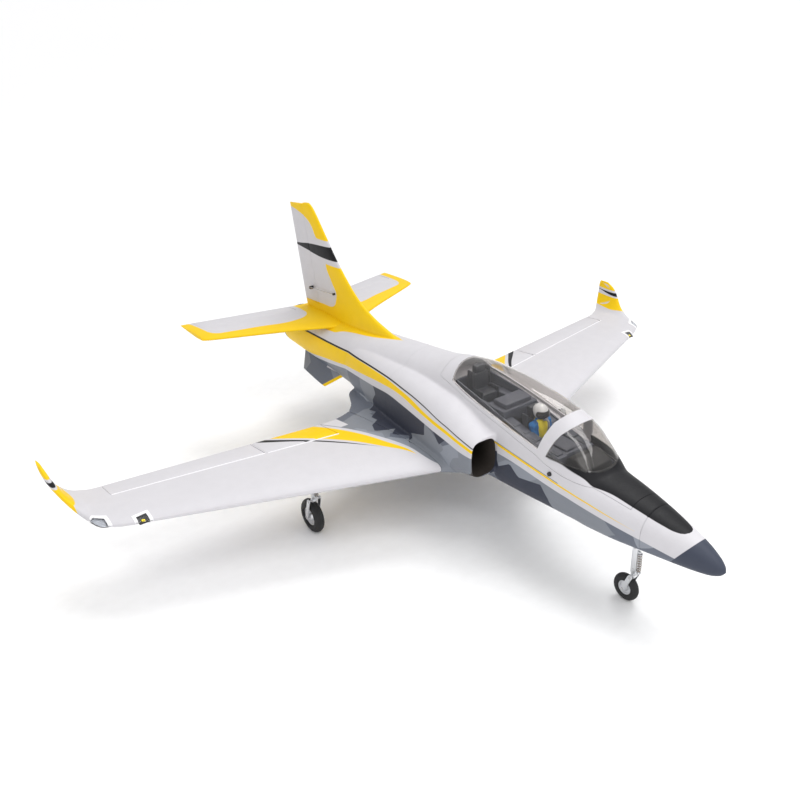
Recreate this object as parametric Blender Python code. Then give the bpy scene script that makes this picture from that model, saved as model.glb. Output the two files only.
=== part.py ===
"""A ducted-fan radio-control jet aeroplane, modelled as its separate pieces.

Metres, +Z up. +X is the aeroplane's left, and the nose points along -Y. Every outline below is written in
stations: y is the distance behind the nose tip and z the height above the ground the wheels stand on. One
empty, the datum, carries the whole model and puts the middle of its length over the origin.
"""

import math

import bmesh
import bpy
from mathutils import Matrix, Vector

# ---------------------------------------------------------------- driving dimensions
LENGTH = 0.9692
GAP = 0.0003
RUNNING_GAP = 0.0006

NOSE_JOINT_Y = 0.100
BODY_JOINT_Y = 0.560
TAIL_END_Y = 0.940

# y, half width, bottom, crown, height of the widest point, roundness of the section
FUSELAGE = [
    (0.000, 0.0015, 0.1205, 0.1235, 0.1220, 2.00),
    (0.004, 0.0065, 0.1155, 0.1290, 0.1218, 2.00),
    (0.015, 0.0125, 0.1105, 0.1370, 0.1220, 2.00),
    (0.033, 0.0187, 0.1075, 0.1447, 0.1235, 2.05),
    (0.060, 0.0253, 0.1045, 0.1525, 0.1260, 2.10),
    (0.100, 0.0330, 0.1005, 0.1620, 0.1295, 2.20),
    (0.150, 0.0410, 0.0955, 0.1705, 0.1330, 2.30),
    (0.178, 0.0440, 0.0935, 0.1745, 0.1360, 2.30),
    (0.190, 0.0450, 0.0925, 0.1880, 0.1370, 2.25),
    (0.205, 0.0460, 0.0920, 0.2070, 0.1380, 2.20),
    (0.225, 0.0475, 0.0910, 0.2250, 0.1390, 2.20),
    (0.246, 0.0485, 0.0900, 0.2350, 0.1400, 2.20),
    (0.300, 0.0510, 0.0870, 0.2445, 0.1430, 2.20),
    (0.360, 0.0530, 0.0840, 0.2495, 0.1470, 2.20),
    (0.410, 0.0540, 0.0820, 0.2490, 0.1490, 2.20),
    (0.457, 0.0540, 0.0810, 0.2425, 0.1510, 2.20),
    (0.510, 0.0535, 0.0815, 0.2305, 0.1520, 2.20),
    (0.600, 0.0520, 0.0870, 0.2195, 0.1530, 2.20),
    (0.700, 0.0490, 0.0980, 0.2085, 0.1545, 2.15),
    (0.800, 0.0445, 0.1080, 0.2000, 0.1555, 2.10),
    (0.900, 0.0395, 0.1145, 0.1925, 0.1540, 2.05),
    (0.940, 0.0370, 0.1165, 0.1890, 0.1530, 2.00),
]
# y, centre x, centre z, half width, half height of each intake cowl
COWL = [
    (0.345, 0.0520, 0.1505, 0.0420, 0.0285),
    (0.360, 0.0520, 0.1505, 0.0425, 0.0340),
    (0.390, 0.0510, 0.1500, 0.0430, 0.0450),
    (0.430, 0.0500, 0.1500, 0.0425, 0.0540),
    (0.500, 0.0450, 0.1500, 0.0410, 0.0560),
    (0.580, 0.0360, 0.1500, 0.0380, 0.0520),
    (0.660, 0.0260, 0.1510, 0.0340, 0.0460),
    (0.730, 0.0170, 0.1520, 0.0280, 0.0380),
]
# y, centre x, centre z, half width, half height of each air duct, from lip to fan
DUCT = [
    (0.335, 0.0715, 0.1505, 0.0205, 0.0255),
    (0.360, 0.0700, 0.1500, 0.0205, 0.0265),
    (0.400, 0.0620, 0.1480, 0.0220, 0.0270),
    (0.450, 0.0480, 0.1465, 0.0245, 0.0280),
    (0.500, 0.0310, 0.1460, 0.0280, 0.0300),
    (0.550, 0.0120, 0.1460, 0.0320, 0.0335),
    (0.590, 0.0000, 0.1460, 0.0362, 0.0362),
]

HATCH_FRONT_Y = 0.122
HATCH_REAR_Y = 0.475
HATCH_RIM = 0.009
# y, height of the canopy's sill
SILL = [(0.122, 0.1665), (0.150, 0.1705), (0.178, 0.1735), (0.220, 0.1760), (0.250, 0.1815), (0.265, 0.1870),
        (0.330, 0.2020), (0.440, 0.2226), (0.475, 0.2270)]
# the edges of the windscreen and of the long canopy seen from the side, as (y, z), from foot to top
WINDSCREEN_FOOT = [(0.160, 0.1735), (0.177, 0.1735), (0.186, 0.1788), (0.214, 0.1826), (0.251, 0.1832)]
WINDSCREEN_REAR = [(0.2435, 0.2046), (0.2225, 0.2330), (0.2215, 0.2700)]
CANOPY_FOOT = [(0.266, 0.1870), (0.330, 0.1985), (0.353, 0.2025), (0.446, 0.2198)]
CANOPY_FRONT = [(0.2440, 0.2700), (0.2440, 0.2380), (0.2547, 0.2246)]
CANOPY_REAR_TOP_Y = 0.461

WING_ROOT_X = 0.0985
AILERON_X = (0.2700, 0.4830)
FLAP_X = (0.1570, 0.2680)
ELEVATOR_X = (0.0325, 0.1985)
RUDDER_Z = (0.2120, 0.3880)
LANDING_LIGHT_X = 0.4715

FAN_Y, FAN_Z, FAN_RADIUS = 0.605, 0.1460, 0.0360
NOZZLE_Z, NOZZLE_RADIUS = 0.1525, 0.0325

MAIN_GEAR_X, MAIN_GEAR_Y, MAIN_PIVOT_Z = 0.231, 0.531, 0.1085
MAIN_AXLE_Y, MAIN_WHEEL_RADIUS = 0.540, 0.0265
MAIN_KNEE_Z = 0.0580
NOSE_GEAR_Y, NOSE_PIVOT_Z = 0.130, 0.1080
NOSE_AXLE_Y, NOSE_WHEEL_RADIUS = 0.138, 0.0195
NOSE_KNEE_Z = 0.0430

SPAR_Y, SPAR_Z, SPAR_RADIUS = 0.475, 0.1150, 0.0050

PILOT_Y, HELMET_Z, HELMET_RADIUS = 0.3010, 0.2132, 0.0098

# colour, roughness, metallic
FINISHES = {
    "white_foam": ((0.86, 0.86, 0.87), 0.55, 0.0),
    "grey_foam": ((0.16, 0.18, 0.22), 0.55, 0.0),
    "dark_plastic": ((0.03, 0.03, 0.035), 0.45, 0.0),
    "grey_plastic": ((0.09, 0.10, 0.13), 0.55, 0.0),
    "clear_plastic": ((0.75, 0.78, 0.80), 0.05, 0.0),
    "lens": ((0.85, 0.87, 0.88), 0.08, 0.0),
    "carbon": ((0.02, 0.02, 0.022), 0.35, 0.0),
    "aluminium": ((0.75, 0.76, 0.78), 0.30, 1.0),
    "rubber": ((0.02, 0.02, 0.02), 0.80, 0.0),
    "battery_wrap": ((0.05, 0.08, 0.20), 0.40, 0.0),
    "blue_cloth": ((0.03, 0.12, 0.35), 0.75, 0.0),
}

DATUM = None


# ---------------------------------------------------------------- general helpers
def clear_scene():
    """Remove whatever the file already holds."""
    for item in list(bpy.data.objects):
        bpy.data.objects.remove(item, do_unlink=True)


def finish(name):
    """The material of one finish, made once."""
    material = bpy.data.materials.get(name)
    if material is None:
        colour, roughness, metallic = FINISHES[name]
        material = bpy.data.materials.new(name)
        material.use_nodes = True
        shader = material.node_tree.nodes["Principled BSDF"]
        shader.inputs["Base Color"].default_value = (*colour, 1.0)
        shader.inputs["Roughness"].default_value = roughness
        shader.inputs["Metallic"].default_value = metallic
        material.diffuse_color = (*colour, 1.0)
    return material


def interpolate(table, station, column):
    """Read one column of a table at a station, on a smooth curve that never overshoots its rows."""
    if station <= table[0][0]:
        return table[0][column]
    if station >= table[-1][0]:
        return table[-1][column]
    row = max(i for i in range(len(table) - 1) if table[i][0] <= station)

    def chord_slope(i):
        return (table[i + 1][column] - table[i][column]) / (table[i + 1][0] - table[i][0])

    def slope(i):
        if i == 0:
            return chord_slope(0)
        if i == len(table) - 1:
            return chord_slope(i - 1)
        before, after = chord_slope(i - 1), chord_slope(i)
        return 0.0 if before * after <= 0 else 2 * before * after / (before + after)

    span = table[row + 1][0] - table[row][0]
    t = (station - table[row][0]) / span
    start, end = table[row][column], table[row + 1][column]
    return ((2 * t**3 - 3 * t**2 + 1) * start + (t**3 - 2 * t**2 + t) * span * slope(row)
            + (3 * t**2 - 2 * t**3) * end + (t**3 - t**2) * span * slope(row + 1))


def make_object(name, points, faces, material):
    """One mesh object on the datum, with its faces pointing out and its flat edges kept sharp."""
    mesh = bpy.data.meshes.new(name)
    mesh.from_pydata([tuple(p) for p in points], [], faces)
    work = bmesh.new()
    work.from_mesh(mesh)
    bmesh.ops.recalc_face_normals(work, faces=work.faces)
    work.to_mesh(mesh)
    work.free()
    mesh.shade_smooth()
    mesh.set_sharp_from_angle(angle=math.radians(32))
    item = bpy.data.objects.new(name, mesh)
    bpy.context.scene.collection.objects.link(item)
    item.data.materials.append(finish(material))
    item.parent = DATUM
    return item


def loft(name, rings, material="white_foam"):
    """A closed solid through rings that all have the same number of points."""
    count = len(rings[0])
    points = [p for ring in rings for p in ring]
    faces = []
    for r in range(len(rings) - 1):
        for i in range(count):
            j = (i + 1) % count
            faces.append((r * count + i, r * count + j, (r + 1) * count + j, (r + 1) * count + i))
    faces.append(tuple(range(count)))
    faces.append(tuple(range((len(rings) - 1) * count, len(rings) * count)))
    return make_object(name, points, faces, material)


def prism(name, outline, axis, low, high, material="white_foam"):
    """An outline in the plane square to an axis (0 is X, 1 is Y, 2 is Z), extruded from low to high."""
    def lift(pair, depth):
        values = list(pair)
        values.insert(axis, depth)
        return values
    return loft(name, [[lift(p, low) for p in outline], [lift(p, high) for p in outline]], material)


def block(name, low, high, material="dark_plastic", bevel=0.0):
    """A box between two corners, with its edges bevelled where a width is given."""
    outline = [(low[0], low[1]), (high[0], low[1]), (high[0], high[1]), (low[0], high[1])]
    item = prism(name, outline, 2, low[2], high[2], material)
    if bevel:
        modifier = item.modifiers.new("bevel", "BEVEL")
        modifier.width = bevel
        modifier.segments = 1
    return item


def circle(centre, radius, axis, sides, turn=0.0):
    """Points of a circle square to an axis."""
    points = []
    for i in range(sides):
        angle = 2 * math.pi * i / sides + turn
        pair = [radius * math.cos(angle), radius * math.sin(angle)]
        pair.insert(axis, 0.0)
        points.append([centre[k] + pair[k] for k in range(3)])
    return points


def rod(name, start, length, radius, axis, sides=12, material="aluminium"):
    """A cylinder from a point along an axis."""
    end = list(start)
    end[axis] += length
    return loft(name, [circle(start, radius, axis, sides), circle(end, radius, axis, sides)], material)


def turned(name, centre, profile, axis, sides, material):
    """A ring turned about an axis through centre. The profile is a closed outline of (along, radius)."""
    points, faces = [], []
    count = len(profile)
    for i in range(sides):
        angle = 2 * math.pi * i / sides - math.pi / 2
        for along, radius in profile:
            pair = [radius * math.cos(angle), radius * math.sin(angle)]
            pair.insert(axis, along)
            points.append([centre[k] + pair[k] for k in range(3)])
    for i in range(sides):
        j = (i + 1) % sides
        for k in range(count):
            m = (k + 1) % count
            faces.append((i * count + k, i * count + m, j * count + m, j * count + k))
    return make_object(name, points, faces, material)


def combine(target, other, operation, solver="EXACT"):
    """Join, cut or keep the common part of target with another object, which becomes a hidden guide."""
    modifier = target.modifiers.new(operation.lower(), "BOOLEAN")
    modifier.operation = operation
    modifier.solver = solver
    modifier.object = other
    other.hide_render = True
    other.display_type = "WIRE"
    return target


def add(target, *others):
    for other in others:
        combine(target, other, "UNION")
    return target


def cut(target, *others):
    for other in others:
        combine(target, other, "DIFFERENCE")
    return target


def hinge_at(item, pivot):
    """Move an object's origin to a pivot, and leave its shape where it is."""
    item.data.transform(Matrix.Translation(-Vector(pivot)))
    item.location = pivot
    return item


def mirrored(side, point):
    """A point of the left half, or its twin on the right where side is -1."""
    return (side * point[0], point[1], point[2])


# ---------------------------------------------------------------- body sections
def body_ring(y, inset=0.0, sides=32):
    """The fuselage's section at a station, drawn in from its surface by inset."""
    half_width, bottom, crown, middle, power = (interpolate(FUSELAGE, y, k) for k in range(1, 6))
    half_width = max(half_width - inset, 0.001)
    up = max(crown - middle - inset, 0.001)
    down = max(middle - bottom - inset, 0.001)
    ring = []
    for i in range(sides):
        angle = 2 * math.pi * i / sides
        c, s = math.cos(angle), math.sin(angle)
        x = half_width * math.copysign(abs(c) ** (2 / power), c)
        z = middle + (up if s >= 0 else down) * math.copysign(abs(s) ** (2 / power), s)
        ring.append((x, y, z))
    return ring


def body_solid(name, y_start, y_end, inset=0.0, sides=32, steps=(), material="white_foam"):
    """The fuselage between two stations, through every table row between them."""
    stations = [y_start] + [row[0] for row in FUSELAGE if y_start < row[0] < y_end] + list(steps) + [y_end]
    return loft(name, [body_ring(y, inset, sides) for y in sorted(stations)], material)


def oval(y, centre_x, centre_z, half_width, half_height, sides, power):
    ring = []
    for i in range(sides):
        angle = 2 * math.pi * i / sides
        c, s = math.cos(angle), math.sin(angle)
        ring.append((centre_x + half_width * math.copysign(abs(c) ** (2 / power), c), y,
                     centre_z + half_height * math.copysign(abs(s) ** (2 / power), s)))
    return ring


def oval_solid(name, table, side, sides, power, stations=None):
    """A solid through oval sections of a table, on the left or the right."""
    rings = []
    for y in stations or [row[0] for row in table]:
        x, z, a, b = (interpolate(table, y, k) for k in range(1, 5))
        rings.append(oval(y, side * x, z, a, b, sides, power))
    return loft(name, rings)


# ---------------------------------------------------------------- wings and tail surfaces
def half_thickness(share, thickness):
    """Half the thickness of a symmetric aerofoil, at a share of its chord from the leading edge."""
    curve = (0.2969 * math.sqrt(share) - 0.1260 * share - 0.3516 * share**2
             + 0.2843 * share**3 - 0.1036 * share**4)
    return 5 * thickness * curve + 0.0004


CHORD_SHARES = (0.0, 0.012, 0.05, 0.13, 0.26, 0.42, 0.60, 0.80, 1.0)


def surface(name, sections, material="white_foam", shares=CHORD_SHARES):
    """An aerofoil surface. Each section is a leading edge, a trailing edge and its greatest thickness."""
    leads = [Vector(lead) for lead, _, _ in sections]
    rings = []
    for i, (lead, trail, thickness) in enumerate(sections):
        chord = Vector(trail) - Vector(lead)
        along = leads[min(i + 1, len(leads) - 1)] - leads[max(i - 1, 0)]
        normal = along.cross(chord).normalized()
        upper = [Vector(lead) + chord * s + normal * half_thickness(s, thickness) for s in shares]
        lower = [Vector(lead) + chord * s - normal * half_thickness(s, thickness) for s in shares[1:]]
        rings.append(upper + list(reversed(lower)))
    return loft(name, rings, material)


def flap_solid(name, ends, material="white_foam"):
    """A control surface with a half-round nose and flat ends square to its main direction.

    Each end is a hinge point, a trailing edge and a nose radius.
    """
    rings = []
    axis = (Vector(ends[1][0]) - Vector(ends[0][0])).normalized()
    main = max(range(3), key=lambda k: abs(axis[k]))
    for hinge, trail, radius in ends:
        back = (Vector(trail) - Vector(hinge))
        back -= axis * back.dot(axis)
        back.normalize()
        up = axis.cross(back)
        ring = []
        for i in range(7):
            angle = math.pi / 2 + math.pi * i / 6
            ring.append(Vector(hinge) + back * radius * math.cos(angle) + up * radius * math.sin(angle))
        ring = [p + axis * ((hinge[main] - p[main]) / axis[main]) for p in ring]
        rings.append(ring + [Vector(trail) - up * 0.0004, Vector(trail) + up * 0.0004])
    return loft(name, rings, material)


def wing_lead(x):
    return 0.400 + 0.379 * (x - 0.099)


def wing_trail(x):
    fillet = 0.0160 * max(0.0, (0.155 - x) / 0.0565) ** 2
    return 0.6380 + 0.115 * (x - 0.2697) + fillet


def wing_height(x):
    return 0.1165 + 0.010 * (x - 0.0985)


def wing_hinge(x):
    return 0.5972 + 0.165 * (x - 0.2745)


def wing_thickness(x):
    return 0.0275 - 0.0385 * (x - 0.0985)


def wing_half_depth(x, y):
    """Half the wing's depth at a place on its plan."""
    share = (y - wing_lead(x)) / (wing_trail(x) - wing_lead(x))
    return half_thickness(share, wing_thickness(x))


WINGLET = [
    ((0.5080, 0.5582, 0.1208), (0.5080, 0.6680, 0.1220), 0.0112),
    ((0.5200, 0.5675, 0.1216), (0.5200, 0.6735, 0.1240), 0.0105),
    ((0.5290, 0.5960, 0.1265), (0.5300, 0.6800, 0.1300), 0.0092),
    ((0.5375, 0.6225, 0.1370), (0.5385, 0.6860, 0.1395), 0.0078),
    ((0.5455, 0.6405, 0.1530), (0.5460, 0.6900, 0.1545), 0.0068),
    ((0.5490, 0.6540, 0.1660), (0.5492, 0.6915, 0.1670), 0.0058),
    ((0.5500, 0.6700, 0.1745), (0.5500, 0.6890, 0.1750), 0.0030),
]

# height, leading edge, trailing edge, thickness of the fin and its dorsal fillet
FIN = [
    (0.1900, 0.6000, 0.9030, 0.0190),
    (0.2120, 0.6240, 0.9085, 0.0160),
    (0.2320, 0.6930, 0.9120, 0.0125),
    (0.2573, 0.7440, 0.9162, 0.0110),
    (0.3038, 0.7953, 0.9240, 0.0100),
    (0.3400, 0.8255, 0.9300, 0.0090),
    (0.3800, 0.8590, 0.9366, 0.0076),
    (0.3895, 0.8730, 0.9360, 0.0040),
]

# x, leading edge, trailing edge, height, thickness of the tailplane
TAILPLANE = [
    (0.0000, 0.7720, 0.9150, 0.1965, 0.0115),
    (0.0310, 0.7870, 0.9212, 0.1963, 0.0110),
    (0.1000, 0.8252, 0.9396, 0.1950, 0.0095),
    (0.2050, 0.8750, 0.9676, 0.1938, 0.0072),
    (0.2170, 0.8850, 0.9692, 0.1937, 0.0030),
]


def elevator_hinge(x):
    return 0.8960 + 0.215 * (x - 0.0315)


def fin_tip_slope(z):
    """How much lower the trailing edge is than the leading edge, near the fin's tip."""
    return 0.0085 * max(0.0, (z - 0.34) / 0.05) ** 2


def rudder_hinge(z):
    return 0.8670 + 0.18 * (z - 0.235)


# ---------------------------------------------------------------- fuselage
def duct_cutters(prefix):
    return [oval_solid(f"{prefix}_duct_{tag}", DUCT, side, 20, 2.5)
            for side, tag in ((1, "left"), (-1, "right"))]


def cowl_solids(prefix):
    stations = [row[0] for row in COWL]
    return [oval_solid(f"{prefix}_cowl_{tag}", COWL, side, 28, 2.5, stations)
            for side, tag in ((1, "left"), (-1, "right"))]


def glove_solids(prefix):
    """The stub of wing on each side of the fuselage that the wing panels butt against."""
    gloves = []
    end_x = WING_ROOT_X - RUNNING_GAP
    for side, tag in ((1, "left"), (-1, "right")):
        sections = [
            ((side * 0.020, 0.345, 0.1180), (side * 0.020, 0.690, 0.1250), 0.046),
            ((side * 0.060, 0.368, 0.1170), (side * 0.060, 0.688, 0.1200), 0.036),
            ((side * 0.080, 0.383, 0.1165), (side * 0.080, 0.655, 0.1170), 0.030),
            ((side * end_x, wing_lead(end_x), wing_height(end_x)),
             (side * end_x, wing_trail(end_x), wing_height(end_x)), wing_thickness(end_x)),
        ]
        gloves.append(surface(f"{prefix}_glove_{tag}", sections))
    return gloves


def sill_height(y):
    return interpolate(SILL, y, 1)


def above_sill(name, front, rear, drop, half=0.2, raise_to=0.30):
    """A guide that holds everything above the sill line, lowered by drop, between two stations."""
    steps = [front] + [row[0] for row in SILL if front < row[0] < rear] + [rear]
    outline = [(y, sill_height(y) - drop) for y in steps] + [(rear, raise_to), (front, raise_to)]
    return prism(name, outline, 0, -half, half)


def slab(name, low_y, high_y):
    """A guide that holds everything between two stations."""
    return block(name, (-0.3, low_y, -0.1), (0.3, high_y, 0.6), "white_foam")


def fuselage_shell(name, y_start, y_end):
    """The moulded outside of the fuselage with its intake cowls and wing stubs, between two stations."""
    shell = body_solid(name, 0.100, TAIL_END_Y)
    add(shell, *cowl_solids(name), *glove_solids(name))
    combine(shell, slab(f"{name}_length", y_start, y_end), "INTERSECT")
    return shell


def build_nose():
    nose = body_solid("nose_cone", 0.0, NOSE_JOINT_Y - GAP, sides=28)
    cut(nose, body_solid("nose_hollow", 0.035, NOSE_JOINT_Y + 0.01, inset=0.006, sides=20))


def spar_rod(name, radius):
    length = 0.30
    return rod(name, (-length / 2, SPAR_Y, SPAR_Z), length, radius, 0, 16, "carbon")


def build_fuselage():
    front = fuselage_shell("fuselage_front", NOSE_JOINT_Y, BODY_JOINT_Y - GAP)
    bay = loft("equipment_bay", [
        [(x * w, y, z) for x, z in ((-1, low), (1, low), (1, top), (-1, top))]
        for y, w, low, top in ((0.107, 0.023, 0.1080, 0.145), (0.150, 0.0255, 0.1042, 0.164),
                               (0.180, 0.030, 0.1020, 0.180), (0.215, 0.035, 0.0990, 0.195),
                               (0.250, 0.037, 0.0970, 0.215), (0.385, 0.037, 0.0920, 0.240),
                               (0.387, 0.037, 0.1740, 0.240), (0.455, 0.037, 0.1800, 0.240))])
    opening = above_sill("hatch_opening", HATCH_FRONT_Y, HATCH_REAR_Y, HATCH_RIM)
    gear_slot = block("nose_gear_slot", (-0.0165, 0.1065, 0.05), (0.0165, 0.243, 0.125))
    cut(front, opening, bay, gear_slot, *duct_cutters("front"), spar_rod("spar_bore", SPAR_RADIUS + GAP))
    cut(front, rod("button_bore", (-0.055, 0.2396, 0.1630), 0.030, 0.0032, 0, 12))

    rear = fuselage_shell("fuselage_rear", BODY_JOINT_Y, TAIL_END_Y)
    tunnel = loft("fan_tunnel", [
        circle((0, y, z), r, 1, 28) for y, z, r in (
            (0.550, FAN_Z, FAN_RADIUS + 0.0006), (0.650, FAN_Z, FAN_RADIUS + 0.0006),
            (0.660, 0.1462, NOZZLE_RADIUS + 0.0020), (0.950, NOZZLE_Z, NOZZLE_RADIUS + 0.0020))])
    tail_seat = tailplane_solid("tail_seat", 2 * GAP)
    cut(rear, tunnel, tail_seat)


# ---------------------------------------------------------------- wing panels
def wing_sections(side):
    stations = (WING_ROOT_X, 0.125, 0.155, 0.210, 0.270, 0.350, 0.430, 0.490)
    sections = [((side * x, wing_lead(x), wing_height(x)), (side * x, wing_trail(x), wing_height(x)),
                 wing_thickness(x)) for x in stations]
    sections += [(mirrored(side, lead), mirrored(side, trail), depth) for lead, trail, depth in WINGLET]
    return sections


def control_cutter(name, side, span, hinge, height, radius):
    """A guide that clears the space behind a hinge line for one control surface."""
    outline = [(side * x, hinge(x) - radius - RUNNING_GAP) for x in span]
    outline += [(side * x, hinge(x) + 0.12) for x in reversed(span)]
    return prism(name, outline, 2, height - 0.05, height + 0.05)


def wing_control(name, side, span):
    """An aileron or a flap, with its origin at the inner end of its hinge line."""
    ends = []
    for x in (span[0] + RUNNING_GAP, span[1] - RUNNING_GAP):
        y, z = wing_hinge(x), wing_height(x)
        ends.append(((side * x, y, z), (side * x, wing_trail(x), z), wing_half_depth(x, y) - 0.0002))
    item = flap_solid(name, ends)
    return hinge_at(item, (side * span[0], wing_hinge(span[0]), wing_height(span[0])))


def build_wing(side, tag):
    panel = surface(f"wing_{tag}", wing_sections(side))
    for label, span in (("aileron", AILERON_X), ("flap", FLAP_X)):
        radius = max(wing_half_depth(x, wing_hinge(x)) for x in span)
        cut(panel, control_cutter(f"{label}_space_{tag}", side, span, wing_hinge, 0.118, radius))
        wing_control(f"{label}_{tag}", side, span)
    cut(panel, spar_rod(f"panel_bore_{tag}", SPAR_RADIUS + GAP))

    wheel_x = MAIN_GEAR_X - (MAIN_PIVOT_Z - MAIN_WHEEL_RADIUS)
    well_top = MAIN_PIVOT_Z + 0.0110
    # the well is longer than the wheel, because the trailing arm can swing back while it is folded
    rim = circle((side * (wheel_x + 0.0004), MAIN_AXLE_Y, 0.0), MAIN_WHEEL_RADIUS + 0.0014, 2, 24)
    rim = [(x, y + (0.0022 if y > MAIN_AXLE_Y + 0.001 else 0.0)) for x, y, _ in rim]
    well = prism(f"wheel_well_{tag}", rim, 2, 0.080, well_top)
    low_x, high_x = sorted((side * wheel_x, side * 0.2615))
    slot = block(f"leg_slot_{tag}", (low_x, MAIN_GEAR_Y - 0.0130, 0.080),
                 (high_x, MAIN_GEAR_Y + 0.0130, well_top))
    cut(panel, well, slot)

    low = (side * LANDING_LIGHT_X - 0.00925, 0.5340, 0.100)
    high = (side * LANDING_LIGHT_X + 0.00925, 0.5540, 0.140)
    cut(panel, block(f"landing_light_pocket_{tag}", low, high))
    lens = surface(f"landing_light_{tag}", wing_sections(side)[6:9], "lens")
    inner = block(f"landing_light_guide_{tag}", (low[0] + GAP, low[1] + GAP, 0.09),
                  (high[0] - GAP, high[1] - GAP, 0.15))
    combine(lens, inner, "INTERSECT")

    plan = [(0.5085, 0.5400), (0.5215, 0.5400), (0.5360, 0.5780), (0.5215, 0.5850), (0.5085, 0.5740)]
    wider = [(0.5082, 0.5390), (0.5217, 0.5390), (0.5365, 0.5782), (0.5216, 0.5854), (0.5082, 0.5744)]
    cut(panel, prism(f"nav_light_pocket_{tag}", [(side * x, y) for x, y in wider], 2, 0.09, 0.15))
    nav = surface(f"nav_light_{tag}", wing_sections(side)[7:12], "lens")
    nav_guide = prism(f"nav_light_guide_{tag}", [(side * x, y) for x, y in plan], 2, 0.10, 0.14)
    combine(nav, nav_guide, "INTERSECT")

    for label, x, y in (("aileron_servo", 0.330, 0.513), ("flap_servo", 0.190, 0.477)):
        floor = wing_height(x) - 0.0045
        recess_low = (side * x - 0.0110, y - 0.0060, floor - 0.02)
        recess_high = (side * x + 0.0110, y + 0.0060, floor + 0.0090)
        cut(panel, block(f"{label}_recess_{tag}", recess_low, recess_high))
        block(f"{label}_{tag}", (recess_low[0] + 0.0005, recess_low[1] + 0.0005, floor - 0.0040),
              (recess_high[0] - 0.0005, recess_high[1] - 0.0005, recess_high[2] - 0.0005))


# ---------------------------------------------------------------- tail
def tailplane_solid(name, growth=0.0):
    """The whole tailplane from tip to tip, made thicker and longer by a growth where it is a guide."""
    half = [((x, lead - growth, z), (x, trail + growth, z), depth + 2 * growth)
            for x, lead, trail, z, depth in TAILPLANE]
    sections = [(mirrored(-1, lead), mirrored(-1, trail), depth)
                for lead, trail, depth in reversed(half[1:])] + half
    return surface(name, sections)


def fin_solid(name):
    sections = [((0, lead, z), (0, trail, z - fin_tip_slope(z)), depth) for z, lead, trail, depth in FIN]
    return surface(name, sections)


def build_tail():
    tail = tailplane_solid("tailplane")
    for side, tag in ((1, "left"), (-1, "right")):
        ends = []
        for x in (ELEVATOR_X[0] + RUNNING_GAP, ELEVATOR_X[1] - RUNNING_GAP):
            z = interpolate(TAILPLANE, x, 3)
            y = elevator_hinge(x)
            lead, trail = interpolate(TAILPLANE, x, 1), interpolate(TAILPLANE, x, 2)
            radius = half_thickness((y - lead) / (trail - lead), interpolate(TAILPLANE, x, 4)) - 0.0002
            ends.append(((side * x, y, z), (side * x, trail, z), radius))
        cut(tail, control_cutter(f"elevator_space_{tag}", side, ELEVATOR_X, elevator_hinge, 0.195,
                                 max(end[2] for end in ends)))
        elevator = flap_solid(f"elevator_{tag}", ends)
        hinge_at(elevator, (side * ELEVATOR_X[0], elevator_hinge(ELEVATOR_X[0]), ends[0][0][2]))

    fin = fin_solid("fin")
    radius = 0.0038
    outline = [(rudder_hinge(z) - radius - RUNNING_GAP, z) for z in (RUDDER_Z[0], 0.40)]
    outline += [(0.99, 0.40), (0.99, RUDDER_Z[0])]
    cut(fin, prism("rudder_space", outline, 0, -0.03, 0.03))
    _, lead, trail, height, depth = TAILPLANE[0]
    seat = [(lead + share * (trail - lead), height + half_thickness(share, depth) + 2 * GAP)
            for share in CHORD_SHARES]
    seat = [(lead - 2 * GAP, 0.150), (lead - 2 * GAP, height)] + seat + [(0.960, height), (0.960, 0.150)]
    cut(fin, body_solid("fin_saddle", 0.57, TAIL_END_Y, inset=-GAP), prism("fin_seat", seat, 0, -0.03, 0.03))
    ends = []
    for z in (RUDDER_Z[0] + RUNNING_GAP, RUDDER_Z[1]):
        lead, trail = interpolate(FIN, z, 1), interpolate(FIN, z, 2)
        nose_radius = half_thickness((rudder_hinge(z) - lead) / (trail - lead), interpolate(FIN, z, 3))
        ends.append(((0, rudder_hinge(z), z - 0.4 * fin_tip_slope(z)), (0, trail, z - fin_tip_slope(z)),
                     min(nose_radius, radius)))
    hinge_at(flap_solid("rudder", ends), (0, rudder_hinge(RUDDER_Z[0]), RUDDER_Z[0]))

    for side, tag in ((1, "left"), (-1, "right")):
        ventral = surface(f"ventral_fin_{tag}", [
            ((side * 0.024, 0.742, 0.1240), (side * 0.020, 0.889, 0.1340), 0.0070),
            ((side * 0.047, 0.781, 0.0945), (side * 0.045, 0.860, 0.1040), 0.0045),
            ((side * 0.049, 0.785, 0.0925), (side * 0.047, 0.857, 0.1020), 0.0020)])
        cut(ventral, body_solid(f"ventral_saddle_{tag}", 0.70, TAIL_END_Y, inset=-GAP))


# ---------------------------------------------------------------- canopy hatch
def window_guide(name, front, shrink=0.0):
    """A guide for the front windscreen or for the long canopy behind the bow."""
    s = shrink
    if front:
        outline = [(y, z + s) for y, z in WINDSCREEN_FOOT[:-1]]
        outline += [(y - s, z) for y, z in WINDSCREEN_FOOT[-1:] + WINDSCREEN_REAR]
        outline.append((0.160, 0.27))
    else:
        outline = [(CANOPY_FOOT[0][0] + s, CANOPY_FOOT[0][1] + s)]
        outline += [(y, z + s) for y, z in CANOPY_FOOT[1:-1]]
        outline += [(CANOPY_FOOT[-1][0] - s, CANOPY_FOOT[-1][1] + s), (CANOPY_REAR_TOP_Y - s, 0.27)]
        outline += [(y + s, z) for y, z in CANOPY_FRONT]
    return prism(name, outline, 0, -0.1, 0.1)


def dome(name, depth, y_start, y_end, material):
    """A skin of even depth under the fuselage's surface, above the hatch's parting line."""
    steps = (0.275, 0.330, 0.435)
    shell = body_solid(name, y_start, y_end, sides=40, steps=steps, material=material)
    cut(shell, body_solid(f"{name}_inside", y_start - 0.01, y_end + 0.01, inset=depth, sides=40, steps=steps))
    return shell


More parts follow.
